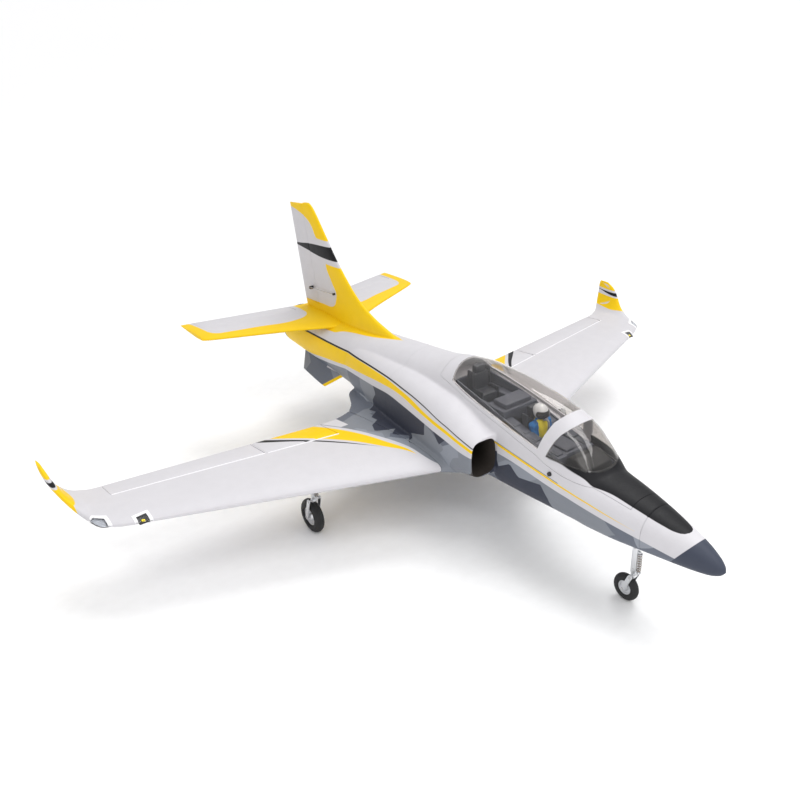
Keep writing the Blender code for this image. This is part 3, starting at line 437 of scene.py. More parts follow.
def body_ring(y, inset=0.0):
    half_width, bottom, crown, middle, power = (interpolate(FUSELAGE, y, k) for k in range(1, 6))
    half_width = max(half_width - inset, 0.001)
    up = max(crown - middle - inset, 0.001)
    down = max(middle - bottom - inset, 0.001)
    ring = []
    for i in range(BODY_SIDES):
        angle = 2 * math.pi * i / BODY_SIDES
        width, height = rounded(math.cos(angle), power), rounded(math.sin(angle), power)
        ring.append((half_width * width, y, middle + (up if height >= 0 else down) * height))
    return ring


def body_shape(start, end, inset=0.0):
    return loft_shape([body_ring(y, inset) for y in spread(start, end, BODY_STEP)])


def oval_shape(table, side, power, sides=72):
    rings = []
    for y in spread(table[0][0], table[-1][0], BODY_STEP):
        x, z, a, b = (interpolate(table, y, k) for k in range(1, 5))
        squareness = power + 0.9 * max(0.0, (0.400 - y) / 0.060)
        ring = []
        for i in range(sides):
            angle = 2 * math.pi * i / sides
            ring.append((side * x + a * rounded(math.cos(angle), squareness), y,
                         z + b * rounded(math.sin(angle), squareness)))
        rings.append(ring)
    return loft_shape(rings)


def half_thickness(share, thickness):
    curve = (0.2969 * math.sqrt(share) - 0.1260 * share - 0.3516 * share**2
             + 0.2843 * share**3 - 0.1036 * share**4)
    return 5 * thickness * curve + 0.0004


SHARES = [0.5 - 0.5 * math.cos(math.pi * i / CHORD_STEPS) for i in range(CHORD_STEPS + 1)]


def smooth_sections(sections, steps):
    """More sections between those given, on a smooth curve through them."""
    flat = [list(lead) + list(trail) + [depth] for lead, trail, depth in sections]
    result = []
    for i in range(len(flat) - 1):
        before, start, end, after = flat[max(i - 1, 0)], flat[i], flat[i + 1], flat[min(i + 2, len(flat) - 1)]
        for k in range(steps):
            t = k / steps
            row = [0.5 * (2 * b + (c - a) * t + (2 * a - 5 * b + 4 * c - d) * t**2 + (3 * b - a - 3 * c + d) * t**3)
                   for a, b, c, d in zip(before, start, end, after)]
            result.append((row[:3], row[3:6], row[6]))
    return result + [sections[-1]]


def surface_shape(sections, thinner=0.0):
    """An aerofoil surface. Each section is a leading edge, a trailing edge and its greatest thickness."""
    leads = [Vector(lead) for lead, _, _ in sections]
    rings = []
    for i, (lead, trail, thickness) in enumerate(sections):
        chord = Vector(trail) - Vector(lead)
        along = leads[min(i + 1, len(leads) - 1)] - leads[max(i - 1, 0)]
        normal = along.cross(chord).normalized()
        depths = [max(half_thickness(s, thickness) - thinner, 0.0002) for s in SHARES]
        upper = [Vector(lead) + chord * s + normal * d for s, d in zip(SHARES, depths)]
        lower = [Vector(lead) + chord * s - normal * d for s, d in zip(SHARES[1:], depths[1:])]
        rings.append(upper + list(reversed(lower)))
    return loft_shape(rings)


def control_shape(ends):
    """A control surface with a half-round nose. Each end is a hinge point, a trailing edge and a nose radius."""
    axis = (Vector(ends[1][0]) - Vector(ends[0][0])).normalized()
    main = max(range(3), key=lambda k: abs(axis[k]))
    rings = []
    for hinge, trail, radius in ends:
        back = Vector(trail) - Vector(hinge)
        back = (back - axis * back.dot(axis)).normalized()
        up = axis.cross(back)
        ring = []
        for i in range(17):
            angle = math.pi / 2 + math.pi * i / 16
            ring.append(Vector(hinge) + back * radius * math.cos(angle) + up * radius * math.sin(angle))
        ring = [p + axis * ((hinge[main] - p[main]) / axis[main]) for p in ring]
        rings.append(ring + [Vector(trail) - up * 0.0005, Vector(trail) + up * 0.0005])
    return loft_shape(rings)


def wing_lead(x):
    return 0.400 + 0.379 * (x - 0.099)


def wing_trail(x):
    return 0.6380 + 0.115 * (x - 0.2697) + 0.0160 * max(0.0, (0.155 - x) / 0.0565) ** 2


def wing_height(x):
    return 0.1165 + 0.010 * (x - 0.0985)


def wing_hinge(x):
    return 0.5972 + 0.165 * (x - 0.2745)


def wing_thickness(x):
    return 0.0275 - 0.0385 * (x - 0.0985)


def wing_half_depth(x, y):
    share = (y - wing_lead(x)) / (wing_trail(x) - wing_lead(x))
    return half_thickness(share, wing_thickness(x))


def elevator_hinge(x):
    return 0.8960 + 0.215 * (x - 0.0315)


def rudder_hinge(z):
    return 0.8670 + 0.18 * (z - 0.235)


def fin_tip_slope(z):
    return 0.0085 * max(0.0, (z - 0.34) / 0.05) ** 2


# ---------------------------------------------------------------- material helpers
class Paint:
    """One material's node tree, with short words for the masks that its colours are laid through."""

    def __init__(self, name):
        self.material = bpy.data.materials.new(name)
        self.material.use_nodes = True
        self.tree = self.material.node_tree
        self.shader = self.tree.nodes["Principled BSDF"]
        self.position = self.node("ShaderNodeTexCoord").outputs["Object"]
        split = self.node("ShaderNodeSeparateXYZ", Vector=self.position)
        self.x = self.math("ABSOLUTE", split.outputs[0])
        self.y = self.math("SUBTRACT", split.outputs[1], NOSE_Y)
        self.z = split.outputs[2]

    def node(self, kind, **inputs):
        """A new node, with its inputs set or linked by their names."""
        node = self.tree.nodes.new(kind)
        for name, value in inputs.items():
            self.feed(value, node.inputs[name.replace("_", " ")])
        return node

    def link(self, source, target):
        self.tree.links.new(source, target)

    def feed(self, value, target):
        if isinstance(value, bpy.types.NodeSocket):
            self.link(value, target)
        else:
            target.default_value = value

    def math(self, operation, *values):
        node = self.node("ShaderNodeMath")
        node.operation = operation
        for value, target in zip(values, node.inputs):
            self.feed(value, target)
        return node.outputs[0]

    def below(self, value, limit, blur=0.0003):
        """1 where value is under limit, 0 where it is over, with a soft edge."""
        over = self.math("SUBTRACT", value, limit)
        return self.node("ShaderNodeMapRange", Value=over, From_Min=blur, From_Max=-blur).outputs["Result"]

    def above(self, value, limit, blur=0.0003):
        return self.math("SUBTRACT", 1.0, self.below(value, limit, blur))

    def all(self, *masks):
        result = masks[0]
        for mask in masks[1:]:
            result = self.math("MULTIPLY", result, mask)
        return result

    def any(self, *masks):
        result = masks[0]
        for mask in masks[1:]:
            result = self.math("MAXIMUM", result, mask)
        return result

    def without(self, mask):
        return self.math("SUBTRACT", 1.0, mask)

    def between(self, value, low, high):
        return self.all(self.above(value, low), self.below(value, high))

    def near(self, value, middle, reach):
        return self.below(self.math("ABSOLUTE", self.math("SUBTRACT", value, middle)), reach)

    def curve(self, value, points, straight=False):
        """A line through points, level before the first and after the last, read at value."""
        if points[0][0] > 0.0:
            points = [(0.0, points[0][1])] + points
        if points[-1][0] < 1.0:
            points = points + [(1.0, points[-1][1])]
        node = self.node("ShaderNodeFloatCurve", Value=value)
        line = node.mapping.curves[0]
        line.points[0].location = points[0]
        line.points[1].location = points[-1]
        for point in points[1:-1]:
            line.points.new(*point)
        for point in line.points:
            point.handle_type = "VECTOR" if straight else "AUTO_CLAMPED"
        node.mapping.extend = "HORIZONTAL"
        node.mapping.update()
        return node.outputs[0]

    def over(self, base, colour, mask):
        """A colour laid over another through a mask."""
        node = self.node("ShaderNodeMix")
        node.data_type = "RGBA"
        self.feed(mask, node.inputs[0])
        for value, target in ((base, node.inputs[6]), (colour, node.inputs[7])):
            if isinstance(value, tuple):
                target.default_value = (*value, 1.0)
            else:
                self.link(value, target)
        return node.outputs[2]

    def noise(self, scale, detail=3.0):
        return self.node("ShaderNodeTexNoise", Vector=self.position, Scale=scale, Detail=detail).outputs["Fac"]

    def cells(self, scale, output="Distance"):
        return self.node("ShaderNodeTexVoronoi", Vector=self.position, Scale=scale).outputs[output]

    def varied(self, value, low, high):
        """A pattern from 0 to 1, moved to a range."""
        return self.node("ShaderNodeMapRange", Value=value, To_Min=low, To_Max=high).outputs["Result"]

    def bump(self, height, strength, distance):
        node = self.node("ShaderNodeBump", Strength=strength, Distance=distance, Height=height)
        self.link(node.outputs[0], self.shader.inputs["Normal"])

    def finish(self, colour, roughness, metallic=0.0, **settings):
        """Connect the colour, mottled a little, and set what is even all over."""
        node = self.node("ShaderNodeVectorMath")
        node.operation = "SCALE"
        self.feed(colour, node.inputs[0])
        self.link(self.varied(self.noise(60.0), 0.95, 1.03), node.inputs["Scale"])
        self.link(node.outputs[0], self.shader.inputs["Base Color"])
        self.link(self.varied(self.noise(140.0), *roughness), self.shader.inputs["Roughness"])
        self.shader.inputs["Metallic"].default_value = metallic
        for name, value in settings.items():
            self.feed(value, self.shader.inputs[name.replace("_", " ")])
        return self.material


BEAD_SCALE = 330.0


def finish_foam(paint, colour):
    """Paint over moulded bead foam: round beads that just show, and a satin coat."""
    beads = paint.cells(BEAD_SCALE)
    grain = paint.noise(900.0, 2.0)
    height = paint.math("ADD", paint.math("MULTIPLY", beads, 0.8), paint.math("MULTIPLY", grain, 0.35))
    paint.bump(height, 0.16, 0.0006)
    return paint.finish(colour, (0.42, 0.56), Specular_IOR_Level=0.22)


def camouflage(paint):
    """Angular patches of two greys."""
    split = paint.node("ShaderNodeSeparateColor", Color=paint.cells(24.0, "Color"))
    patches = paint.above(split.outputs[0], 0.62, 0.01)
    light = paint.above(split.outputs[1], 0.7, 0.01)
    colour = paint.over(GREY, (0.26, 0.28, 0.32), light)
    return paint.over(colour, (0.13, 0.145, 0.18), patches)


def hull_colour(paint):
    """The colours of the fuselage, by where a point is."""
    x, y, z = paint.x, paint.y, paint.z
    colour = WHITE
    # the rear colours start at the intake lips, and a little further forward out on the cowls
    rear = paint.any(paint.above(y, 0.3455, 0.0002), paint.all(paint.above(y, 0.339, 0.0002),
                                                                paint.above(x, 0.06, 0.0002)))
    front = paint.without(rear)

    grey_top_front = paint.curve(y, [
        (0.0, 0.114), (0.08, 0.1262), (0.1027, 0.129), (0.2316, 0.1435), (0.34, 0.1545)])
    grey_top_rear = paint.curve(y, [
        (0.345, 0.1575), (0.407, 0.1634), (0.4653, 0.169), (0.5328, 0.1715), (0.6085, 0.1636), (0.6897, 0.1527),
        (0.7876, 0.1359), (0.86, 0.122), (0.94, 0.113)])
    grey_zone = paint.any(paint.all(front, paint.below(z, grey_top_front)),
                          paint.all(rear, paint.below(z, grey_top_rear)))
    colour = paint.over(colour, camouflage(paint), grey_zone)

    front_patch = paint.curve(y, [
        (0.0, 0.05), (0.236, 0.09), (0.24, 0.121), (0.2533, 0.1405), (0.2945, 0.1337), (0.3103, 0.1478),
        (0.3323, 0.1346), (0.34, 0.16)], True)
    patch = paint.all(front, grey_zone, paint.below(z, front_patch))
    colour = paint.over(colour, DARK, patch)

    dark_reach = paint.curve(y, [
        (0.444, 0.06), (0.446, 0.1), (0.4713, 0.101), (0.4865, 0.088), (0.5106, 0.103), (0.52, 0.089),
        (0.5374, 0.115), (0.561, 0.104), (0.565, 0.09), (0.584, 0.09), (0.589, 0.076), (0.606, 0.078),
        (0.613, 0.04)], True)
    dark_front = paint.curve(z, [(0.129, 0.47), (0.1357, 0.487), (0.1514, 0.4414), (0.17, 0.446)], True)
    dark_rear = paint.curve(z, [(0.0, 0.61), (0.1348, 0.611), (0.154, 0.595), (0.1634, 0.604)], True)
    dark = paint.all(grey_zone, paint.below(x, dark_reach), paint.between(y, dark_front, dark_rear))
    small_low = paint.curve(y, [(0.0, 0.2), (0.398, 0.162), (0.411, 0.15), (0.424, 0.164), (1.0, 0.2)], True)
    small = paint.all(grey_zone, paint.between(y, 0.398, 0.424), paint.above(z, small_low))
    colour = paint.over(colour, DARK, paint.any(dark, small))

    yellow_top = paint.curve(y, [
        (0.0, 0.166), (0.34, 0.1685), (0.345, 0.1693), (0.3714, 0.1725), (0.4114, 0.1775), (0.4548, 0.1825),
        (0.495, 0.1876), (0.5427, 0.1888), (0.6193, 0.1858), (0.7256, 0.1772), (0.848, 0.1722), (0.94, 0.1695)])
    yellow_low = paint.curve(y, [
        (0.0, 0.163), (0.34, 0.1646), (0.345, 0.1653), (0.3688, 0.1682), (0.4094, 0.1726), (0.4679, 0.1786),
        (0.5192, 0.1826), (0.5795, 0.1777), (0.6517, 0.1669), (0.734, 0.1523), (0.7858, 0.144), (0.86, 0.129),
        (0.94, 0.121)])
    line = paint.curve(y, [
        (0.0, 0.1695), (0.34, 0.1708), (0.345, 0.1715), (0.403, 0.1806), (0.4633, 0.1893), (0.5262, 0.1916),
        (0.6036, 0.1886), (0.7292, 0.1786), (0.8329, 0.1736), (0.94, 0.17)])
    width = paint.curve(y, [(0.36, 0.0006), (0.6, 0.001), (0.75, 0.0014)])
    band = paint.all(rear, paint.between(z, yellow_low, yellow_top))
    pinstripe = paint.all(rear, paint.near(z, line, width))
    middle = paint.math("ADD", paint.math("MULTIPLY", y, 0.1316), 0.12338)
    taper = paint.curve(y, [(0.108, 0.0), (0.15, 0.0006), (0.3414, 0.0017)])
    front_band = paint.all(front, paint.above(y, 0.108), paint.near(z, middle, taper))
    front_line = paint.all(front, paint.above(y, 0.225), paint.above(z, paint.math("ADD", middle, 0.0019)),
                           paint.below(z, paint.math("ADD", middle, 0.0027)))
    colour = paint.over(colour, YELLOW, paint.any(band, front_band))
    colour = paint.over(colour, BLACK, paint.any(pinstripe, front_line))

    saddle = paint.curve(y, [(0.614, 0.0), (0.63, 0.0045), (0.6685, 0.014), (0.7517, 0.024), (0.775, 0.03)])
    crown = paint.all(paint.above(y, 0.612), paint.above(z, 0.188), paint.below(x, saddle))
    colour = paint.over(colour, YELLOW, crown)

    panel = paint.curve(y, [
        (0.052, 0.0), (0.0545, 0.0075), (0.062, 0.0125), (0.08, 0.0172), (0.1174, 0.0223), (0.1613, 0.0272),
        (0.1861, 0.0338), (0.2047, 0.0394), (0.23, 0.043), (0.2518, 0.0447)])
    panel_foot = paint.curve(y, [(0.16, 0.14), (0.175, 0.164), (1.0, 0.164)])
    panel_head = paint.curve(y, [(0.206, 0.3), (0.216, 0.1836), (1.0, 0.1836)])
    anti_glare = paint.all(paint.between(y, 0.052, 0.252), paint.above(z, panel_foot),
                           paint.below(x, panel), paint.below(z, panel_head))
    colour = paint.over(colour, BLACK, anti_glare)

    colour = paint.over(colour, (0.085, 0.088, 0.1), paint.above(y, 0.934))
    # painted shade: the inside of each intake duct is painted near-black brown for the shade deep in the duct
    duct_x = paint.curve(y, [
        (0.0, 0.071), (0.342, 0.0706), (0.36, 0.07), (0.4, 0.062), (0.45, 0.048), (0.5, 0.031), (0.55, 0.012),
        (1.0, 0.0)])
    across = paint.math("DIVIDE", paint.math("SUBTRACT", x, duct_x), 0.0222)
    upward = paint.math("DIVIDE", paint.math("SUBTRACT", z, 0.1495), 0.0285)
    reach = paint.math("ADD", paint.math("POWER", paint.math("ABSOLUTE", across), 3.0),
                       paint.math("POWER", paint.math("ABSOLUTE", upward), 3.0))
    duct_shade = paint.all(paint.above(y, 0.3416, 0.0004), paint.below(y, 0.56), paint.below(reach, 1.05, 0.02))
    colour = paint.over(colour, (0.05, 0.043, 0.038), duct_shade)
    bay_floor = paint.curve(y, [(0.0, 0.11), (0.107, 0.109), (0.25, 0.0978), (0.385, 0.0928)])
    bay_top = paint.curve(y, [
        (0.122, 0.157), (0.15, 0.161), (0.178, 0.164), (0.22, 0.1665), (0.25, 0.172), (0.265, 0.1775),
        (0.33, 0.1925), (0.44, 0.2131), (0.475, 0.2175)])
    bay_side = paint.curve(y, [(0.107, 0.0232), (0.15, 0.0257), (0.18, 0.0302), (0.215, 0.0352), (0.25, 0.0372)])
    bay = paint.all(paint.between(y, 0.1225, 0.4556), paint.below(x, bay_side),
                    paint.between(z, bay_floor, bay_top))
    colour = paint.over(colour, WHITE, bay)
    tip = paint.below(paint.math("ADD", y, paint.math("MULTIPLY", paint.math("SUBTRACT", z, 0.122), 0.72)), 0.0545)
    return paint.over(colour, NOSE_BLUE, tip)


def wing_colour(paint):
    """The colours of the wing panels and the winglets, by where a point is."""
    x, y, z = paint.x, paint.y, paint.z
    grey_edge = paint.curve(y, [
        (0.0, 0.096), (0.4, 0.0965), (0.4187, 0.1035), (0.465, 0.1083), (0.5159, 0.1202), (0.5716, 0.1358),
        (0.63, 0.159), (1.0, 0.26)])
    wedge_in = paint.curve(y, [
        (0.4396, 0.1111), (0.5016, 0.1248), (0.5457, 0.1353), (0.6026, 0.1561), (0.648, 0.18), (1.0, 0.3)])
    wedge_out = paint.curve(y, [
        (0.0, 0.1105), (0.4396, 0.1111), (0.491, 0.1364), (0.5379, 0.1609), (0.5968, 0.2039), (0.638, 0.242),
        (1.0, 0.5)])
    line_mid = paint.curve(y, [
        (0.488, 0.137), (0.4923, 0.1399), (0.5446, 0.175), (0.5924, 0.2118), (0.64, 0.258), (1.0, 0.55)])
    line_half = paint.curve(y, [(0.48, 0.0), (0.54, 0.0019), (0.5924, 0.0034), (0.64, 0.0064)])
    colour = WHITE
    grey = paint.below(x, grey_edge)
    white_patch = paint.all(paint.above(y, 0.59), paint.above(x, 0.128))
    colour = paint.over(colour, camouflage(paint), paint.all(grey, paint.without(white_patch)))
    seam_line = paint.all(paint.above(y, 0.56), paint.near(x, paint.math("SUBTRACT", grey_edge, 0.0008), 0.001))
    colour = paint.over(colour, GREY, seam_line)
    dark_reach = paint.curve(y, [
        (0.46, 0.09), (0.4713, 0.101), (0.4865, 0.088), (0.5106, 0.103), (0.52, 0.089), (0.5374, 0.115),
        (0.561, 0.104), (0.565, 0.09)], True)
    colour = paint.over(colour, DARK, paint.below(x, dark_reach))
    colour = paint.over(colour, YELLOW, paint.all(paint.above(y, 0.4396), paint.between(x, wedge_in, wedge_out)))
    colour = paint.over(colour, BLACK, paint.all(paint.above(y, 0.488), paint.near(x, line_mid, line_half)))

    foot = paint.curve(y, [(0.6156, 0.134), (0.6444, 0.1316), (0.67, 0.1322), (0.7, 0.133)])
    winglet = paint.all(paint.above(x, 0.5215), paint.any(paint.above(z, foot), paint.above(x, 0.533)))
    low_band = paint.all(winglet, paint.below(z, 0.1512))
    top_band = paint.all(winglet, paint.above(z, 0.1628))
    trail_low = paint.curve(y, [(0.6479, 0.1512), (0.65, 0.146), (0.6536, 0.14), (0.66, 0.137), (0.6711, 0.1345)])
    trail_top = paint.curve(y, [(0.0, 0.1628), (0.6557, 0.1635), (0.6658, 0.1702), (0.678, 0.1722), (0.69, 0.173)])
    inner_white = paint.all(paint.below(x, paint.math("ADD", paint.math("MULTIPLY", z, 0.4), 0.479)),
                            paint.any(paint.all(low_band, paint.above(z, trail_low)),
                                      paint.all(top_band, paint.below(z, trail_top))))
    colour = paint.over(colour, YELLOW, paint.all(paint.any(low_band, top_band), paint.without(inner_white)))
    black_top = 0.1592
    black_low = paint.curve(y, [(0.0, 0.1535), (0.645, 0.1537), (0.665, 0.1552), (0.69, 0.1586), (1.0, 0.159)])
    return paint.over(colour, BLACK, paint.all(winglet, paint.between(z, black_low, black_top)))


def fin_colour(paint):
    """The colours of the fin and the rudder, by where a point is."""
    y, z = paint.y, paint.z
    low_panel = paint.curve(y, [
        (0.786, 0.3), (0.7925, 0.26), (0.7957, 0.2454), (0.8014, 0.2286), (0.815, 0.22), (0.8423, 0.2176),
        (0.9031, 0.2113), (1.0, 0.205)])
    edge = paint.curve(z, [(0.2454, 0.7957), (0.2666, 0.8089), (0.295, 0.8242)])
    top_yellow = paint.curve(y, [
        (0.0, 0.32), (0.824, 0.334), (0.8493, 0.3343), (0.8619, 0.3513), (0.8757, 0.3618), (0.8983, 0.3677),
        (0.9325, 0.3729), (1.0, 0.374)])
    wedge_low = paint.curve(y, [
        (0.7955, 0.304), (0.8334, 0.3036), (0.8751, 0.3051), (0.9235, 0.3068), (1.0, 0.309)])
    wedge_top = paint.curve(y, [(0.0, 0.326), (0.81, 0.3252), (0.8667, 0.3207), (0.9223, 0.311), (1.0, 0.305)])
    below_gap = paint.below(z, 0.2951)
    base = paint.all(below_gap, paint.any(paint.below(y, edge), paint.below(z, low_panel)))
    colour = paint.over(WHITE, YELLOW, base)
    colour = paint.over(colour, YELLOW, paint.all(paint.above(z, top_yellow), paint.above(z, 0.334)))
    return paint.over(colour, BLACK, paint.all(paint.between(z, wedge_low, wedge_top)))


def tail_colour(paint):
    """The colours of the tailplane and the elevators, by where a point is."""
    x, y = paint.x, paint.y
    front = paint.curve(x, [
        (0.0, 0.92), (0.022, 0.9), (0.026, 0.87), (0.0383, 0.8504), (0.0607, 0.8445), (0.1257, 0.864),
        (0.1762, 0.8803), (0.188, 0.885), (0.1969, 0.8954), (0.2014, 0.9214), (0.205, 0.97), (1.0, 0.99)])
    panel = paint.all(paint.above(y, front), paint.between(x, 0.0235, 0.204))
    return paint.over(YELLOW, WHITE, panel)


def ventral_colour(paint):
    y, z = paint.y, paint.z
    lead = paint.math("SUBTRACT", y, paint.math("MULTIPLY", paint.math("SUBTRACT", 0.124, z), 1.32))
    colour = paint.over(camouflage(paint), YELLOW, paint.below(lead, 0.75))
    root = paint.all(paint.above(z, 0.119), paint.below(y, 0.8))
    return paint.over(colour, WHITE, root)


def painted(name, colour_of):
    paint = Paint(name)
    return finish_foam(paint, colour_of(paint))


def plain(name, colour, roughness, metallic=0.0, grain=(500.0, 0.1, 0.0002), **settings):
    """A moulded or machined surface of one colour, with a fine grain."""
    paint = Paint(name)
    scale, strength, distance = grain
    paint.bump(paint.noise(scale, 4.0), strength, distance)
    return paint.finish(colour, roughness, metallic, **settings)


def brushed(name, colour, roughness):
    """Machined alloy with fine tool marks along its length."""
    paint = Paint(name)
    stretch = paint.node("ShaderNodeMapping", Vector=paint.position, Scale=(1.0, 1.0, 0.06))
    marks = paint.node("ShaderNodeTexNoise", Vector=stretch.outputs[0], Scale=2200.0)
    paint.bump(marks.outputs["Fac"], 0.08, 0.0002)
    return paint.finish(colour, roughness, 1.0)


def clear(name, colour):
    """Clear formed plastic with a faint tint and a slightly uneven gloss."""
    paint = Paint(name)
    paint.bump(paint.noise(35.0, 1.0), 0.008, 0.0002)
    return paint.finish(colour, (0.01, 0.035), Transmission_Weight=1.0, IOR=1.45)


# every material, grouped under the name of a slot
LOOKS = {
    "painted_foam": {
        "hull": painted("hull_paint", hull_colour),
        "wing": painted("wing_paint", wing_colour),
        "fin": painted("fin_paint", fin_colour),
        "tail": painted("tail_paint", tail_colour),
        "ventral": painted("ventral_paint", ventral_colour),
        # painted highlight: a brighter white than the hull's, for the light caught along the raised hinge beads; the
        # light surrounds share it
        "bead": painted("highlight_and_rim_white", lambda paint: (0.84, 0.83, 0.85)),
    },
    "clear_canopy": {
        "glass": clear("canopy_clear", (0.72, 0.695, 0.67)),
    },
    "light_lens": {
        "lens": clear("lens_clear", (0.93, 0.94, 0.94)),
        "amber": plain("amber_led", (0.80, 0.62, 0.01), (0.15, 0.22)),
    },
    "cockpit_plastic": {
        "tub": plain("cockpit_grey", (0.085, 0.092, 0.120), (0.45, 0.60), grain=(500.0, 0.04, 0.0001)),
        "seat": plain("seat_grey", (0.030, 0.033, 0.045), (0.45, 0.60), grain=(900.0, 0.05, 0.0001)),
        "screen": plain("display_glass", (0.012, 0.035, 0.030), (0.08, 0.14)),
    },
    "black_plastic": {
        "black": plain("black_moulding", (0.018, 0.018, 0.020), (0.38, 0.50)),
    },
    "pilot_helmet": {
        "helmet": plain("helmet_white", (0.72, 0.73, 0.75), (0.18, 0.28), Coat_Weight=0.4),
        "visor": plain("visor_black", (0.010, 0.011, 0.016), (0.06, 0.12), Coat_Weight=0.5),
        "mask": plain("mask_grey", (0.33, 0.34, 0.38), (0.45, 0.60)),
    },
    "pilot_suit": {
        "vest": plain("vest_yellow", (0.86, 0.70, 0.02), (0.60, 0.75), grain=(1600.0, 0.30, 0.0003)),
        "suit": plain("suit_blue", (0.010, 0.150, 0.420), (0.65, 0.80), grain=(1600.0, 0.35, 0.0004)),
    },
    "gear_alloy": {
        "alloy": brushed("satin_alloy", (0.72, 0.73, 0.75), (0.24, 0.36)),
        "steel": brushed("bright_steel", (0.60, 0.60, 0.61), (0.16, 0.26)),
        "bronze": brushed("bronze_spring", (0.23, 0.17, 0.115), (0.28, 0.38)),
    },
    "tyre_rubber": {
        "rubber": plain("tyre_black", (0.014, 0.014, 0.015), (0.60, 0.78), grain=(1100.0, 0.35, 0.0003)),
    },
    "exhaust_plastic": {
        "nozzle": plain("nozzle_grey", (0.075, 0.080, 0.095), (0.35, 0.48)),
    },
    # only on CAD pieces, which keep the slots that they have
    None: {
        "carbon": plain("carbon_tube", (0.020, 0.020, 0.022), (0.25, 0.40), grain=(1500.0, 0.20, 0.0002)),
        "wrap": plain("battery_wrap", (0.030, 0.060, 0.190), (0.22, 0.34), grain=(90.0, 0.20, 0.0006)),
    },
}
MATERIALS = {key: material for group in LOOKS.values() for key, material in group.items()}
SLOT_OF = {material.name: slot for slot, group in LOOKS.items() for material in group.values()}


# ---------------------------------------------------------------- fuselage skins
def glove_shapes():
    """The stub of wing on each side that the wing panels butt against."""
    end_x = WING_ROOT_X - RUNNING_GAP
    shapes = []
    for side, _ in SIDES:
        sections = [
            ((side * 0.02, 0.345, 0.118), (side * 0.02, 0.69, 0.125), 0.046),
            ((side * 0.06, 0.368, 0.117), (side * 0.06, 0.688, 0.12), 0.036),
            ((side * 0.08, 0.383, 0.1165), (side * 0.08, 0.655, 0.117), 0.03),
            ((side * end_x, wing_lead(end_x), wing_height(end_x)),
             (side * end_x, wing_trail(end_x), wing_height(end_x)), wing_thickness(end_x))]
        shapes.append(surface_shape(smooth_sections(sections, 4), thinner=-0.0006))
    return shapes


def sill_outline(front, rear, drop):
    steps = [front] + [row[0] for row in SILL if front < row[0] < rear] + [rear]
    return [(y, interpolate(SILL, y, 1) - drop) for y in steps] + [(rear, 0.3), (front, 0.3)]


def make_hull():
    """Fuse body, cowls and wing stubs into one moulding, hollow it as the CAD model is, and part it in two."""
    shapes = [body_shape(NOSE_JOINT_Y, TAIL_END_Y)] + glove_shapes()
    shapes += [oval_shape(COWL, side, INTAKE_POWER) for side, _ in SIDES]
    hull = make_piece("hull", *joined_shape(shapes), "hull")
    remesh = hull.modifiers.new("fuse", "REMESH")
    remesh.mode = "VOXEL"
    remesh.voxel_size = SKIN_VOXEL
    smooth = hull.modifiers.new("ease", "SMOOTH")
    smooth.factor = 0.5
    smooth.iterations = SKIN_SMOOTHING
    apply_modifiers(hull)

    bay = loft_shape([[(x * w, y, z) for x, z in ((-1, low), (1, low), (1, top), (-1, top))]
                      for y, w, low, top in ((0.107, 0.023, 0.108, 0.145), (0.15, 0.0255, 0.1042, 0.164),
                                             (0.18, 0.03, 0.102, 0.18), (0.215, 0.035, 0.099, 0.195),
                                             (0.25, 0.037, 0.097, 0.215), (0.385, 0.037, 0.092, 0.24),
                                             (0.387, 0.037, 0.174, 0.24), (0.455, 0.037, 0.18, 0.24))])
    tunnel = loft_shape([circle((0, y, z), r, 1, 64) for y, z, r in (
        (0.55, FAN_Z, FAN_RADIUS + RUNNING_GAP), (0.65, FAN_Z, FAN_RADIUS + RUNNING_GAP),
        (*NOZZLE_FRONT, NOZZLE_RADIUS + 0.002), (*NOZZLE_REAR, NOZZLE_RADIUS + 0.002))])
    combine(hull, "DIFFERENCE", *[oval_shape(DUCT, side, INTAKE_POWER) for side, _ in SIDES],
            prism_shape(sill_outline(*HATCH_Y, HATCH_RIM), 0, -0.2, 0.2), bay, tunnel,
            box_shape((-0.0165, 0.1065, 0.05), (0.0165, 0.243, 0.125)),
            rod_shape((-0.056, LATCH_Y, LATCH_Z), 0.032, 0.0032, 0),
            *[side_box(side, (WING_ROOT_X - RUNNING_GAP / 2, 0.3, 0.05), (0.2, 0.75, 0.2)) for side, _ in SIDES])
    rear = show(hull.copy())
    rear.data = hull.data.copy()
    for item, name, low, high in ((hull, "fuselage_front", NOSE_JOINT_Y - 0.01, BODY_JOINT_Y - GAP),
                                  (rear, "fuselage_rear", BODY_JOINT_Y, TAIL_END_Y + 0.01)):
        item.name = f"{name}_skin"
        combine(item, "INTERSECT", box_shape((-0.3, low, 0.0), (0.3, high, 0.6)))
        attach(item, "airframe", [name])
    build("nose_cone_skin", "airframe", "hull", loft_shape(
        [body_ring(0.06 * (1 - math.cos(t / 12 * math.pi / 2)) ** 1.6 * 0.5) for t in range(1, 12)]
        + [body_ring(y) for y in spread(0.03, NOSE_JOINT_Y - GAP, 0.003)]), replaces=["nose_cone"])


